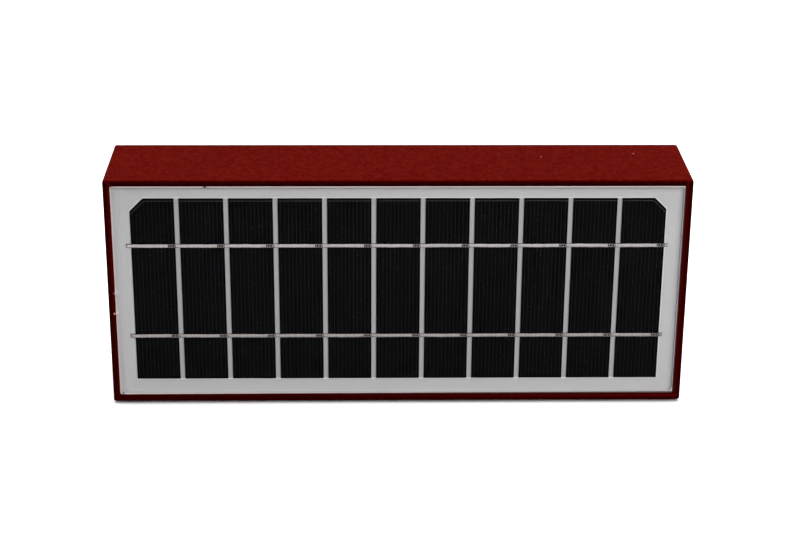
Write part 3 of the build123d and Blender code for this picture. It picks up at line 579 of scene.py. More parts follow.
# %% [markdown]
# ## The clear sheet and the silicon
# A clear sheet covers the cells. It keeps its shape from the construction model and is nearly
# invisible: a small alpha leaves only a faint gloss, which is cheaper and cleaner than true glass
# over such thin layers. The silicon is almost black, with faint upright streaks that come from
# a noise drawn out thirty times as long as it is wide.

# %% Clear sheet and silicon
SHEET_DARK = (0.02, 0.02, 0.02)
SHEET_ALPHA = 0.006
SILICON_BLACK = (0.0028, 0.0029, 0.0034)
STREAK_STRETCH = (1, 1, 30)
STREAK_TONES = (0.7, 1.35)
PATCH_SPAN = (0.35, 0.65)

def clear_sheet():
    finish = start_finish("clear_sheet", SHEET_DARK, roughness=0.25, specular=0.05)
    shader_of(finish).inputs["Alpha"].default_value = SHEET_ALPHA
    vary_roughness(finish, blotches(finish, size=2 * MM), low=0.2, high=0.32)
    raise_bumps(finish, blotches(finish, size=6 * MM, detail=1.0), depth=0.01 * MM)
    return finish

def coated_silicon():
    finish = start_finish("coated_silicon", SILICON_BLACK, roughness=0.4, specular=0.01)
    streaks = cloud(finish, size=1.2 * MM, detail=2.0, stretch=STREAK_STRETCH)
    deep = drifting(finish, streaks, SILICON_BLACK, *STREAK_TONES)
    drift = cloud(finish, size=25 * MM, detail=1.0, span=PATCH_SPAN)
    paint_colour(finish, mixed(finish, drift, deep, SILICON_BLACK))
    vary_roughness(finish, blotches(finish, size=5 * MM), low=0.34, high=0.46)
    raise_bumps(finish, blotches(finish, size=0.3 * MM), depth=0.003 * MM)
    return finish

finishes["clear_film"] = clear_sheet()
finishes["silicon"] = coated_silicon()
print("made:", finishes["clear_film"].name, finishes["silicon"].name)

# %% [markdown]
# ## Metals
# Tinned ribbon is dull and uneven, plated screws are bright, and drawn or turned metal is streaked
# one way. Each is a metal shader whose colour and roughness drift with a noise of that shape.
# They could be written out one by one, but differ only in tone, gloss and the shape of the noise,
# so one helper and a table make them all.

# %% Cloudy metals
def cloudy_metal(name, colour, roughness, size, stretch, depth, change):
    """A metal whose tone and gloss drift in blotches, drawn out one way for streaks."""
    finish = start_finish(name, colour, roughness, metallic=1.0)
    tone = cloud(finish, size, detail=4.0, stretch=stretch)
    paint_colour(finish, drifting(finish, tone, colour, 1 - change, 1 + change))
    gloss = blotches(finish, size / 2, detail=2.0, stretch=stretch)
    vary_roughness(finish, gloss, low=roughness * 0.8, high=roughness * 1.25)
    if depth:
        raise_bumps(finish, blotches(finish, size / 3, detail=2.0, stretch=stretch), depth)
    return finish

# Slot, name, colour, roughness, size of the blotches in mm, how far they are drawn out each way,
# depth of the bumps in mm, and how far the tone drifts.
METALS = [
    ("tinned_ribbon", "tinned_ribbon", (0.281, 0.260, 0.263), 0.5, 0.7, EVEN, 0.02, 0.16),
    ("nickel_strip", "nickel_strip", (0.60, 0.58, 0.54), 0.32, 2, EVEN, 0, 0.12),
    ("plated_steel", "plated_steel", (0.36, 0.37, 0.39), 0.28, 1.2, EVEN, 0, 0.12),
    ("battery_can", "battery_can", (0.62, 0.62, 0.61), 0.3, 3, (8, 1, 1), 0, 0.12),
    ("bare_aluminium", "bare_aluminium", (0.70, 0.71, 0.72), 0.38, 0.8, (25, 1, 1), 0.004, 0.12),
    ("brass", "turned_brass", (0.68, 0.50, 0.22), 0.3, 0.6, (1, 1, 0.3), 0, 0.12),
]
for slot, name, colour, roughness, size, stretch, depth, change in METALS:
    finishes[slot] = cloudy_metal(name, colour, roughness, size * MM, stretch, depth * MM, change)
print("metals made:", len(METALS))

# %% [markdown]
# The back plate, the wall bracket and the battery strap are zinc-coated sheet. Zinc sets in flat
# crystals that catch the light differently. Cells of a Voronoi texture have that shape, and give
# each crystal its own tone and gloss. Dull patches lie over them.

# %% Zinc sheet
ZINC_GREY = (0.225, 0.234, 0.247)
CRYSTAL_SIZE = 5.0 * MM
CRYSTAL_TONES = (0.84, 1.12)

def zinc_sheet():
    finish = start_finish("zinc_sheet", ZINC_GREY, roughness=0.42, metallic=1.0)
    tree = finish.node_tree
    crystals = tree.nodes.new("ShaderNodeTexVoronoi")
    crystals.inputs["Scale"].default_value = 1 / CRYSTAL_SIZE
    tree.links.new(place_in(finish), crystals.inputs["Vector"])
    tone = tree.nodes.new("ShaderNodeSeparateColor")
    tree.links.new(crystals.outputs["Color"], tone.inputs[0])
    sheet = drifting(finish, tone.outputs[0], ZINC_GREY, *CRYSTAL_TONES)
    dull = cloud(finish, size=12 * MM, span=PATCH_SPAN)
    paint_colour(finish, mixed(finish, dull, sheet, ZINC_GREY))
    vary_roughness(finish, tone.outputs[1], low=0.34, high=0.5)
    raise_bumps(finish, blotches(finish, size=0.6 * MM), depth=0.004 * MM)
    return finish

finishes["zinc_sheet"] = zinc_sheet()
print("made:", finishes["zinc_sheet"].name)

# %% [markdown]
# ## Plastics, rubbers and the small electric parts
# Moulded plastic has a spark-eroded grain, foam has pores and shrink film has soft wrinkles. Most
# of these pieces are inside the box. They could each have a finish of their own, but all are a
# slightly uneven colour under a grain of some size, so one helper and a table make them.

# %% Moulded finishes
GLOSS_CHANGE = 0.06

def grained(name, colour, roughness, grain, depth, change=0.08, specular=0.4):
    """A moulded finish: slightly uneven colour and a grain raised over the whole surface."""
    finish = start_finish(name, colour, roughness, specular=specular)
    tone = cloud(finish, grain * 6)
    paint_colour(finish, drifting(finish, tone, colour, 1 - change, 1 + change))
    gloss = blotches(finish, grain * 3)
    vary_roughness(finish, gloss, roughness - GLOSS_CHANGE, roughness + GLOSS_CHANGE)
    raise_bumps(finish, blotches(finish, grain, detail=2.0), depth)
    return finish

# Slot, name, colour, roughness, size and depth of the grain in mm, and how far the colour drifts.
MOULDED = [
    ("black_plastic", "black_plastic", (0.018, 0.018, 0.019), 0.5, 0.3, 0.01, 0.08),
    ("white_plastic", "white_plastic", (0.78, 0.77, 0.72), 0.45, 0.3, 0.008, 0.03),
    ("black_rubber", "foam_rubber", (0.016, 0.016, 0.016), 0.8, 0.4, 0.06, 0.3),
    ("blue_wrap", "shrink_wrap", (0.008, 0.065, 0.26), 0.22, 3, 0.08, 0.08),
    ("ferrite", "ferrite", (0.035, 0.034, 0.034), 0.7, 0.25, 0.02, 0.25),
    ("led_board_white", "white_mask", (0.82, 0.82, 0.80), 0.35, 0.5, 0.005, 0.02),
    ("phosphor", "phosphor", (0.80, 0.55, 0.06), 0.4, 0.2, 0.01, 0.08),
    ("button_rubber", "button_rubber", (0.045, 0.045, 0.048), 0.55, 0.25, 0.012, 0.08),
    ("lead_sheath", "lead_sheath", (0.30, 0.012, 0.010), 0.4, 0.6, 0.008, 0.08),
]
for slot, name, colour, roughness, grain, depth, change in MOULDED:
    finishes[slot] = grained(name, colour, roughness, grain * MM, depth * MM, change)
print("moulded finishes:", len(MOULDED))

# %% [markdown]
# A circuit board shows its copper tracks through the green mask, as paler straight runs that stand
# up a little. The lines of a brick texture run like that, and need no drawn layout. The lamp's
# lens is milky: light sinks into it and comes back out, which is what subsurface scattering does.

# %% Green board
MASK_GREEN = (0.010, 0.085, 0.030)
TRACK_GREEN = (0.03, 0.17, 0.06)
TRACK_SPACING = 9 * MM
TRACK_WIDTH = 0.035
TRACK_HEIGHT = 0.02 * MM

def solder_mask():
    finish = start_finish("solder_mask", MASK_GREEN, roughness=0.35)
    tree = finish.node_tree
    tracks = tree.nodes.new("ShaderNodeTexBrick")
    tracks.inputs["Scale"].default_value = 1 / TRACK_SPACING
    tracks.inputs["Mortar Size"].default_value = TRACK_WIDTH
    turned = tree.nodes.new("ShaderNodeMapping")
    turned.inputs["Rotation"].default_value = (math.radians(90), 0, 0)
    tree.links.new(place_in(finish), turned.inputs["Vector"])
    tree.links.new(turned.outputs["Vector"], tracks.inputs["Vector"])
    paint_colour(finish, mixed(finish, tracks.outputs["Fac"], MASK_GREEN, TRACK_GREEN))
    vary_roughness(finish, blotches(finish, size=2 * MM), low=0.28, high=0.42)
    raise_bumps(finish, tracks.outputs["Fac"], TRACK_HEIGHT)
    return finish

finishes["green_board"] = solder_mask()
print("made:", finishes["green_board"].name)

# %% Opal lens
MILK_WHITE = (0.82, 0.82, 0.78)
MILK_SHARE = 0.35
MILK_DEPTH = (2.0 * MM, 2.0 * MM, 1.8 * MM)

def opal_lens():
    finish = grained("opal_lens", MILK_WHITE, roughness=0.42, grain=0.5 * MM,
                     depth=0.006 * MM, change=0.02)
    shader = shader_of(finish)
    shader.inputs["Subsurface Weight"].default_value = MILK_SHARE
    shader.inputs["Subsurface Radius"].default_value = MILK_DEPTH
    shader.inputs["Subsurface Scale"].default_value = 1.0
    return finish

finishes["opal_lens"] = opal_lens()
print("made:", finishes["opal_lens"].name)

# %% [markdown]
# ## Silicone
# The sealant round the panel is greyish white, and paler inwards. Next to the paint it is pink, a
# painted reflection of the red rim, and on the right it is whiter, a painted highlight. Below and
# on the right the rim looks wider in the photograph, most of all towards the lower right corner,
# so the rim's painted-shade red goes on over the bead's edge there. Painting by the distance from
# the box's opening keeps these bands even all round.

# %% Colours of the silicone
# The pink is a painted reflection of the red rim, and the whitest white is a painted highlight on
# the right.
SILICONE_WHITE = (0.60, 0.585, 0.59)
RIM_REFLECTION_PINK = (0.92, 0.75, 0.74)
SILICONE_FILM = (0.68, 0.67, 0.68)
RIGHT_HIGHLIGHT_WHITE = (0.96, 0.92, 0.92)
HOLE_SHADE = (0.01, 0.001, 0.001)
DIMPLE_SHADE_GREY = (0.27, 0.26, 0.26)

# Specks of painted shade in the hole under the top rim and in the dimple in the lower left corner.
SILICONE_SPECKS = [
    ((-75.7 * MM, -20.9 * MM, 92.8 * MM), 0.75 * MM, HOLE_SHADE),
    ((-111.6 * MM, -20.25 * MM, 3.1 * MM), 0.7 * MM, DIMPLE_SHADE_GREY),
]
print("specks on the silicone:", len(SILICONE_SPECKS))

# %% White silicone
REFLECTION_INSET = (0.5 * MM, 0.1 * MM)
FILM_INSET = (1.4 * MM, 2.8 * MM)
HIGHLIGHT_INSET_RIGHT = (0.9 * MM, 0.7 * MM)
RIM_OVERLAP_BELOW = (0.36 * MM, 0.22 * MM)
RIM_OVERLAP_SLOPE = 0.0021
RIM_OVERLAP_RIGHT = (0.45 * MM, 0.30 * MM)

def white_silicone():
    finish = grained("white_silicone", SILICONE_WHITE, roughness=0.42, grain=0.9 * MM,
                     depth=0.03 * MM, change=0.03)
    tree = finish.node_tree
    low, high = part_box("panel_sealant")
    middle = (low.z + high.z) / 2
    place = axes_of(finish)
    beside = arith(tree, "SUBTRACT", high.x, arith(tree, "ABSOLUTE", place["X"]))
    height = arith(tree, "ABSOLUTE", arith(tree, "SUBTRACT", place["Z"], middle))
    inset = arith(tree, "MINIMUM", beside, arith(tree, "SUBTRACT", high.z - middle, height))
    colour = shader_of(finish).inputs["Base Color"].links[0].from_socket
    # A pink painted reflection of the red rim next to the paint.
    colour = mixed(finish, spread(finish, inset, *REFLECTION_INSET), colour, RIM_REFLECTION_PINK)
    colour = mixed(finish, spread(finish, inset, *FILM_INSET), colour, SILICONE_FILM)
    right = arith(tree, "SUBTRACT", high.x, place["X"])
    # A painted highlight along the right of the bead.
    colour = mixed(finish, spread(finish, right, *HIGHLIGHT_INSET_RIGHT), colour, RIGHT_HIGHLIGHT_WHITE)
    # The rim's painted-shade red goes on over the bead's outer edge below and on the right.
    slant = arith(tree, "MULTIPLY", place["X"], RIM_OVERLAP_SLOPE)
    raised = arith(tree, "SUBTRACT", arith(tree, "SUBTRACT", place["Z"], low.z), slant)
    overlap_below = spread(finish, raised, *RIM_OVERLAP_BELOW)
    rim_overlap = arith(tree, "MAXIMUM", overlap_below, spread(finish, right, *RIM_OVERLAP_RIGHT))
    colour = mixed(finish, rim_overlap, colour, shaded(PAINT_RED, RIM_SHADE_TONE))
    # Painted shade in the hole and the dimple.
    paint_colour(finish, with_specks(finish, colour, SILICONE_SPECKS))
    return finish

finishes["sealant"] = white_silicone()
print("made:", finishes["sealant"].name)

# %% [markdown]
# ## Finishes on the pieces
# Each piece of the construction model came with a plain stand-in colour that carries the name of
# its slot in the record. Going through the pieces by that name dresses them all, and a slot that
# was forgotten would stop the script.

# %% Dress the pieces
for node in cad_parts.values():
    slot = node.material_slots[0]
    slot.material = finishes[slot.material.name.split(".")[0]]
print("finishes:", len(finishes), "on pieces:", len(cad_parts))

# %% [markdown]
# ## Pieces of our own
# What the construction model lacks is added as closed meshes made in mesh code, which keeps each
# size in a named value. Each piece rides on the body that carries it, so it moves with it.

# %% Piece helpers
def piece_from(mesh, name, finish, smooth=False):
    """Turn a mesh in the making into a piece that rides on the body of the light."""
    bmesh.ops.recalc_face_normals(mesh, faces=mesh.faces)
    for face in mesh.faces:
        face.smooth = smooth and len(face.verts) == 4
    piece = bpy.data.objects.new(name, bpy.data.meshes.new(name))
    mesh.to_mesh(piece.data)
    mesh.free()
    scene.collection.objects.link(piece)
    piece.data.materials.append(finish)
    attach(piece, "light")
    return piece

def prism(mesh, outline, front, back):
    """A thin solid: an outline of (x, z) points, from one depth to another."""
    near = [mesh.verts.new((x, front, z)) for x, z in outline]
    far = [mesh.verts.new((x, back, z)) for x, z in outline]
    mesh.faces.new(near)
    mesh.faces.new(list(reversed(far)))
    bridge(mesh, far, near)

def bar(mesh, left, right, bottom, top, front, back):
    prism(mesh, [(left, bottom), (right, bottom), (right, top), (left, top)], front, back)

print("piece helpers ready")

# %% [markdown]
# ## The white film behind the cells
# The construction model has one block of clear resin round the cells. In the real panel the part
# behind the cells is white, which is why no gap shows between a cell and the white round it. Clear
# resin over a white board would show a shadow there, so one rounded slab of white behind the cells
# and their ribbons takes the place of that block.

# %% Rounded outline
CORNER_STEPS = 8
CORNER_SIGNS = [(1, 1), (-1, 1), (-1, -1), (1, -1)]

def rounded_outline(low, high, radii, run_points=1):
    """Points round a rectangle with round corners, with the same count whatever its size.

    The four radii go round from the top right corner by way of the top left one.
    """
    arcs = []
    for quarter, ((side, upper), radius) in enumerate(zip(CORNER_SIGNS, radii)):
        x = high.x - radius if side > 0 else low.x + radius
        z = high.z - radius if upper > 0 else low.z + radius
        arc = []
        for step in range(CORNER_STEPS + 1):
            angle = math.pi / 2 * (quarter + step / CORNER_STEPS)
            arc.append((x + radius * math.cos(angle), z + radius * math.sin(angle)))
        arcs.append(arc)
    points = []
    for arc, after in zip(arcs, arcs[1:] + arcs[:1]):
        points.extend(arc)
        (x0, z0), (x1, z1) = arc[-1], after[0]
        for step in range(1, run_points):
            share = step / run_points
            points.append((x0 + (x1 - x0) * share, z0 + (z1 - z0) * share))
    return points

print("points in a plain outline:", len(CORNER_SIGNS) * (CORNER_STEPS + 1))

# %% White film
PANEL_CORNERS = (1.6 * MM,) * 4
FILM_GAP = 0.01 * MM

board_low, board_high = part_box("panel_board")
ribbon_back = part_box("upper_ribbons")[1].y
film_front = ribbon_back + FILM_GAP

mesh = bmesh.new()
prism(mesh, rounded_outline(board_low, board_high, PANEL_CORNERS), film_front, board_low.y)
white_film = piece_from(mesh, "white_film", finishes["white_board"])
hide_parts("panel_encapsulant")
print("white film thickness in mm:", round((board_low.y - film_front) / MM, 2))

# %% [markdown]
# ## Printed lines on the cells
# Each cell carries fine upright silver lines, and one line along its top edge that follows the
# cut corner of the first and last cells. They could be drawn in the finish, but then they would
# smear when the panel is seen close, so they are thin bars laid on the silicon. Under the dark
# coat the silver looks dark grey.

# %% Line along the top of a cell
CELL_COUNT = 11
PRINT_THICK = 0.012 * MM
PRINT_SIDE = 0.15 * MM

cells = [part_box(f"solar_cell_{n:02d}") for n in range(1, CELL_COUNT + 1)]
cell_front = cells[0][0].y
print_front = cell_front - PRINT_THICK

def top_edge(index, drop):
    """The line that runs a given distance inside a cell's top edge, from left to right."""
    low, high = cells[index]
    left = low.x + PRINT_SIDE
    right = high.x - PRINT_SIDE
    top = high.z - drop
    slant = drop * (math.sqrt(2) - 1) - PRINT_SIDE
    points = [(left, top), (right, top)]
    if index == 0:
        reach = FIRST_CHAMFER + slant
        points[:1] = [(left, top - reach), (left + reach, top)]
    if index == CELL_COUNT - 1:
        reach = LAST_CHAMFER + slant
        points[-1:] = [(right - reach, top), (right, top - reach)]
    return points

def height_under(points, x):
    """Height of a line of points at one x."""
    for (x0, z0), (x1, z1) in zip(points, points[1:]):
        if x0 <= x <= x1:
            return z0 + (z1 - z0) * (x - x0) / (x1 - x0)
    return points[0][1] if x < points[0][0] else points[-1][1]

print("cells:", len(cells), "each", round((cells[0][1].x - cells[0][0].x) / MM, 1), "mm wide")

# %% Printed lines
FINGER_PITCH = 1.53 * MM
FINGER_WIDTH = 0.12 * MM
FINGER_FOOT = 0.45 * MM
FINGER_SILVER = 0.021
EDGE_LINE_DROP = 1.0 * MM
EDGE_LINE_WIDTH = 0.16 * MM
EDGE_SILVER = 0.095
SILVER_BLUE = 1.04

def silver_print(name, level):
    silver = (level, level, level * SILVER_BLUE)
    return grained(name, silver, roughness=0.5, grain=0.15 * MM, depth=0.002 * MM,
                   change=0.2, specular=0.05)

edge_mesh = bmesh.new()
finger_mesh = bmesh.new()
finger_total = 0
for index, (low, high) in enumerate(cells):
    upper = top_edge(index, EDGE_LINE_DROP)
    lower = top_edge(index, EDGE_LINE_DROP + EDGE_LINE_WIDTH)
    for (a, b), (c, d) in zip(zip(upper, upper[1:]), zip(lower, lower[1:])):
        prism(edge_mesh, [c, d, b, a], print_front, cell_front)
    count = int((high.x - low.x) / FINGER_PITCH)
    first = (low.x + high.x - (count - 1) * FINGER_PITCH) / 2
    for finger in range(count):
        x = first + finger * FINGER_PITCH
        bar(finger_mesh, x - FINGER_WIDTH / 2, x + FINGER_WIDTH / 2, low.z + FINGER_FOOT,
            height_under(lower, x), print_front, cell_front)
    finger_total += count
piece_from(edge_mesh, "edge_print", silver_print("edge_silver", EDGE_SILVER))
piece_from(finger_mesh, "finger_print", silver_print("finger_silver", FINGER_SILVER))
print("printed lines:", finger_total + CELL_COUNT)

# %% [markdown]
# ## Ribbons and solder
# A flat tinned ribbon runs along each row of cells, from the face of one cell across the gap and
# under the cell before it. By hand it never lies quite straight, and the solder leaves it thicker
# here and there. The plain bars of the construction model are too even for that, so each ribbon is
# a strip with a low rounded section whose middle line, width and thickness wander.

# %% Unevenness
def eased(value, start, end):
    """0 before the start, 1 after the end, and a smooth curve between them."""
    share = min(max((value - start) / (end - start), 0.0), 1.0)
    return share * share * (3 - 2 * share)

def uneven(x, run, seed, layer):
    """Smooth unevenness along a strip, from -1 to 1, in waves about as long as run."""
    return noise.noise(Vector((x / run, seed, layer)))

print("unevenness helpers ready")

# %% One ribbon
RIBBON_WIDTH = 1.36 * MM
RIBBON_THICK = 0.12 * MM
RIBBON_STEP = 0.6 * MM
RIBBON_WANDER = 0.10 * MM
RIBBON_SWELL = 0.20 * MM
RIBBON_LUMPS = 0.15
WANDER_RUN, WANDER_LAYER = 5 * MM, 0.3
SWELL_RUN, SWELL_LAYER = 1.5 * MM, 7.1
LUMP_RUN, LUMP_LAYER = 1.1 * MM, 3.7

# The section as shares of the width and of the thickness.
RIBBON_SECTION = [(-0.5, 0.0), (-0.5, 0.45), (-0.28, 0.92), (0.0, 1.0),
                  (0.28, 0.92), (0.5, 0.45), (0.5, 0.0)]

def ribbon_strip(mesh, start, end, middle, seed, climb):
    """A closed strip from one x to another, which climbs from behind a cell to its face."""
    steps = max(2, round((end - start) / RIBBON_STEP))
    sections = []
    for step in range(steps + 1):
        x = start + (end - start) * step / steps
        back = ribbon_back + (cell_front - ribbon_back) * eased(x, *climb)
        z = middle + RIBBON_WANDER * uneven(x, WANDER_RUN, seed, WANDER_LAYER)
        width = RIBBON_WIDTH + RIBBON_SWELL * uneven(x, SWELL_RUN, seed, SWELL_LAYER)
        lump = 1 - RIBBON_LUMPS + RIBBON_LUMPS * uneven(x, LUMP_RUN, seed, LUMP_LAYER)
        thick = RIBBON_THICK * lump
        section = [(x, back - rise * thick, z + side * width) for side, rise in RIBBON_SECTION]
        sections.append([mesh.verts.new(point) for point in section])
    for before, after in zip(sections, sections[1:]):
        bridge(mesh, before, after)
    mesh.faces.new(sections[0])
    mesh.faces.new(list(reversed(sections[-1])))

print("corners in a ribbon's section:", len(RIBBON_SECTION))

# %% [markdown]
# A row has one strip for each cell and a short stub at its far end. The first strip starts on the
# white beside the first cell. The strips end at slightly different places, as cut by hand. The
# lower row has dulled more than the upper one, so it gets a finish of its own.

# %% Rows of ribbons
RIBBON_COVER = 0.83
RIBBON_TUCK = 1.2 * MM
RIBBON_SCATTER = 0.8 * MM
FIRST_STUB = 1.9 * MM
LAST_STUB = 1.2 * MM
ROW_SEED = 10.0
STUB_SEED = 11.5
SCATTER_LAYER = (2.0, 5.0)
DULL_TIN = (0.230, 0.210, 0.207)

def ribbon_row(node, name, row, finish):
    """All the strips of one row, as a piece that stands for the plain ones."""
    low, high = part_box(node)
    middle = (low.z + high.z) / 2
    mesh = bmesh.new()
    for index, (cell_low, cell_high) in enumerate(cells):
        seed = ROW_SEED * row + index
        end = cell_low.x + RIBBON_COVER * (cell_high.x - cell_low.x)
        end += RIBBON_SCATTER * noise.noise(Vector((seed, *SCATTER_LAYER)))
        if index:
            climb = (cells[index - 1][1].x, cell_low.x)
            start = climb[0] - RIBBON_TUCK
        else:
            start = cell_low.x - FIRST_STUB
            climb = (start - RIBBON_TUCK, start)
        ribbon_strip(mesh, start, end, middle, seed, climb)
    start = cells[-1][1].x
    end = start + LAST_STUB
    ribbon_strip(mesh, start, end, middle, ROW_SEED * row + STUB_SEED, (end, end + RIBBON_TUCK))
    piece = piece_from(mesh, name, finish, smooth=True)
    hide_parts(node)

dull_ribbon = cloudy_metal("dull_ribbon", DULL_TIN, roughness=0.5, size=0.7 * MM,
                           stretch=EVEN, depth=0.02 * MM, change=0.2)
ribbon_row("upper_ribbons", "upper_ribbon_row", 1, finishes["tinned_ribbon"])
ribbon_row("lower_ribbons", "lower_ribbon_row", 2, dull_ribbon)
print("ribbon strips:", 2 * (CELL_COUNT + 1))

# %% [markdown]
# Each ribbon has a thin dark grey outline on the white film, which is painted shade: a slip a
# little wider than the ribbon lies under it. It shows in the gaps between cells and round the ends
# of the row. A dark outline in the film's finish could stand for it, but a slip that the ribbon
# lies on follows the ribbon's place by itself.

# %% Painted shade round the ribbons
SHADE_OVERHANG = 0.2 * MM
SHADE_SLIP_THICK = 0.005 * MM
RIBBON_SHADE_GREY = (0.13, 0.125, 0.115)

mesh = bmesh.new()
for node in ("upper_ribbons", "lower_ribbons"):
    low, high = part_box(node)
    bottom = (low.z + high.z - RIBBON_WIDTH) / 2 - SHADE_OVERHANG
    top = (low.z + high.z + RIBBON_WIDTH) / 2 + SHADE_OVERHANG
    runs = [(cells[0][0].x - FIRST_STUB - SHADE_OVERHANG, cells[0][0].x)]
    runs += [(before[1].x, after[0].x) for before, after in zip(cells, cells[1:])]
    runs.append((cells[-1][1].x, cells[-1][1].x + LAST_STUB + SHADE_OVERHANG))
    for left, right in runs:
        bar(mesh, left, right, bottom, top, film_front - SHADE_SLIP_THICK, film_front)
# The grey of the slips is painted shade.
ribbon_shade_finish = grained("painted_ribbon_shade", RIBBON_SHADE_GREY, roughness=0.4, grain=0.3 * MM,
                      depth=0.002 * MM, change=0.25)
piece_from(mesh, "ribbon_shade_lines", ribbon_shade_finish)
print("flux slips:", 2 * (CELL_COUNT + 1))

# %% [markdown]
# Past the end of each ribbon the printed bar under it shows: two thin rails joined by rungs, with
# small dark windows of silicon between them. Like the other printed lines it is made of thin bars,
# because a drawn pattern would blur at this size.

# %% Ladders past the ribbons
LADDER_RAIL = 0.26 * MM
LADDER_RUNG = 0.40 * MM
LADDER_RUNGS = 3
LADDER_PITCH = 1.05 * MM
LADDER_HEIGHT = 1.35 * MM
LADDER_OVERLAP = 0.06
LADDER_SILVER = (0.30, 0.29, 0.27)

mesh = bmesh.new()
for node in ("upper_ribbons", "lower_ribbons"):
    low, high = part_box(node)
    middle = (low.z + high.z) / 2
    window = LADDER_HEIGHT / 2 - LADDER_RAIL
    for cell_low, cell_high in cells:
        start = cell_low.x + (RIBBON_COVER - LADDER_OVERLAP) * (cell_high.x - cell_low.x)
        end = cell_high.x - PRINT_SIDE
        for side in (-1, 1):
            rail = middle + side * (LADDER_HEIGHT - LADDER_RAIL) / 2
            bar(mesh, start, end, rail - LADDER_RAIL / 2, rail + LADDER_RAIL / 2,
                print_front, cell_front)
        for rung in range(LADDER_RUNGS):
            right = end - rung * LADDER_PITCH
            bar(mesh, right - LADDER_RUNG, right, middle - window, middle + window,
                print_front, cell_front)
ladder_finish = grained("bar_print", LADDER_SILVER, roughness=0.5, grain=0.15 * MM,
                        depth=0.003 * MM, change=0.2, specular=0.1)
piece_from(mesh, "bar_print", ladder_finish)
print("ladders:", 2 * CELL_COUNT)

# %% [markdown]
# ## The sealant bead
# White silicone was run by hand into the gap between the panel and the box, and wiped. The plain
# bead of the construction model has one even slope. This one is a closed ring, lofted between the
# box's opening and a line on the panel. It reaches further over the panel on the left than on the
# other sides, so the line on the panel has its own distance and corners on each side.

# %% Sealant bead outlines
BEAD_RUN_POINTS = 240
OPENING_CORNERS = (0.8 * MM,) * 4
BEAD_CORNERS = (0.8 * MM, 0.8 * MM, 2.2 * MM, 1.8 * MM)
BEAD_REACH = {"left": 2.9 * MM, "right": 0.6 * MM, "bottom": 0.95 * MM, "top": 1.15 * MM}

sheet_low, sheet_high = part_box("panel_front_sheet")
bead_low, bead_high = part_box("panel_sealant")
edge_low = bead_low + Vector((BEAD_REACH["left"], 0, BEAD_REACH["bottom"]))
edge_high = bead_high - Vector((BEAD_REACH["right"], 0, BEAD_REACH["top"]))
opening = rounded_outline(bead_low, bead_high, OPENING_CORNERS, BEAD_RUN_POINTS)
panel_edge = rounded_outline(sheet_low, sheet_high, PANEL_CORNERS, BEAD_RUN_POINTS)
bead_edge = rounded_outline(edge_low, edge_high, BEAD_CORNERS, BEAD_RUN_POINTS)
print("bead points round the panel:", len(opening))

# %% [markdown]
# The height of the bead is a formula of how far a point lies across it: a thin wiped film, a climb
# towards the box that turns up more or less sharply, and along the top a ledge almost as high as
# the rim. Where the sides meet, their values blend by how near each side is. A few flaws raise or
# sink it: two smears on the left, a hole under the top rim and a dimple in the lower left corner.
# Sculpting could give such a bead too, but a formula can be read and changed.

# %% Sides of the bead
BEAD_CLIMB = {"left": 0.25 * MM, "right": 0.2 * MM, "bottom": 0.24 * MM, "top": 0.0}
BEAD_TURN = {"left": 7.0, "right": 2.0, "bottom": 4.0, "top": 2.0}
BEAD_LEDGE = {"left": 0.0, "right": 0.0, "bottom": 0.0, "top": 1.1 * MM}
SIDE_BLEND = 0.3 * MM

def of_sides(values, x, z):
    """The value for a point on the opening, blended from the sides that are near it."""
    away = {"left": x - bead_low.x, "right": bead_high.x - x,
            "bottom": z - bead_low.z, "top": bead_high.z - z}
    weights = {side: (distance + SIDE_BLEND) ** -2 for side, distance in away.items()}
    return sum(values[side] * weights[side] for side in values) / sum(weights.values())

print("sides of the bead:", len(BEAD_CLIMB))

# %% Height of the bead
BEAD_FILM = 0.04 * MM
LEDGE_START = 0.40
LEDGE_END = 0.85
EDGE_WANDER, EDGE_RUN, EDGE_LAYER = 0.10, 14 * MM, 4.0
HEIGHT_CHANGE, HEIGHT_RUN, HEIGHT_LAYER = 0.15, 9 * MM, 1.0

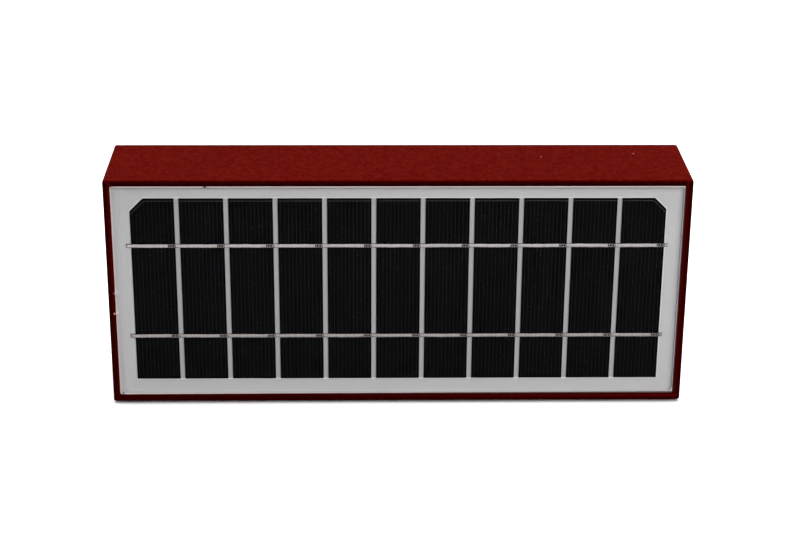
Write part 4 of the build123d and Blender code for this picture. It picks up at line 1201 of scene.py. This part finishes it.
# Each flaw has its x and z, its size and how much it raises the bead.
BEAD_FLAWS = [
    (-112.6 * MM, 47.3 * MM, 1.1 * MM, 0.7 * MM),
    (-112.6 * MM, 38.6 * MM, 0.9 * MM, 0.6 * MM),
    (-75.6 * MM, 92.3 * MM, 0.9 * MM, -0.6 * MM),
    (-111.5 * MM, 3.1 * MM, 0.8 * MM, -0.12 * MM),
]

def bead_point(start, end, share):
    """A point on the bead, a share of the way from the box to the bead's edge on the panel."""
    (x0, z0), (x1, z1) = start, end
    across = share * (1 + EDGE_WANDER * share * uneven(x0, EDGE_RUN, z0 / EDGE_RUN, EDGE_LAYER))
    x = x0 + (x1 - x0) * across
    z = z0 + (z1 - z0) * across
    height = of_sides(BEAD_CLIMB, x0, z0) * (1 - share) ** of_sides(BEAD_TURN, x0, z0)
    height += of_sides(BEAD_LEDGE, x0, z0) * (1 - eased(share, LEDGE_START, LEDGE_END))
    height *= 1 + HEIGHT_CHANGE * uneven(x0, HEIGHT_RUN, z0 / HEIGHT_RUN, HEIGHT_LAYER)
    height += BEAD_FILM * (1 - share ** 2)
    for flaw_x, flaw_z, size, change in BEAD_FLAWS:
        away = ((x - flaw_x) ** 2 + (z - flaw_z) ** 2) / size ** 2
        height += change * math.exp(-away) * (1 - share)
    return x, sheet_low.y - height, z

print("bead flaws:", len(BEAD_FLAWS))

# %% Sealant bead
BEAD_DEPTH = 1.6 * MM
BEAD_STEPS = 14

bead_back = sheet_low.y + BEAD_DEPTH
mesh = bmesh.new()
loops = [[mesh.verts.new((x, bead_back, z)) for x, z in opening]]
for step in range(BEAD_STEPS + 1):
    pairs = zip(opening, bead_edge)
    points = [bead_point(start, end, step / BEAD_STEPS) for start, end in pairs]
    loops.append([mesh.verts.new(point) for point in points])
for depth in (sheet_low.y, bead_back):
    loops.append([mesh.verts.new((x, depth, z)) for x, z in panel_edge])
for before, after in zip(loops, loops[1:] + loops[:1]):
    bridge(mesh, before, after)
sealant_bead = piece_from(mesh, "sealant_bead", finishes["sealant"], smooth=True)
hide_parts("panel_sealant")
print("bead faces:", len(sealant_bead.data.polygons))
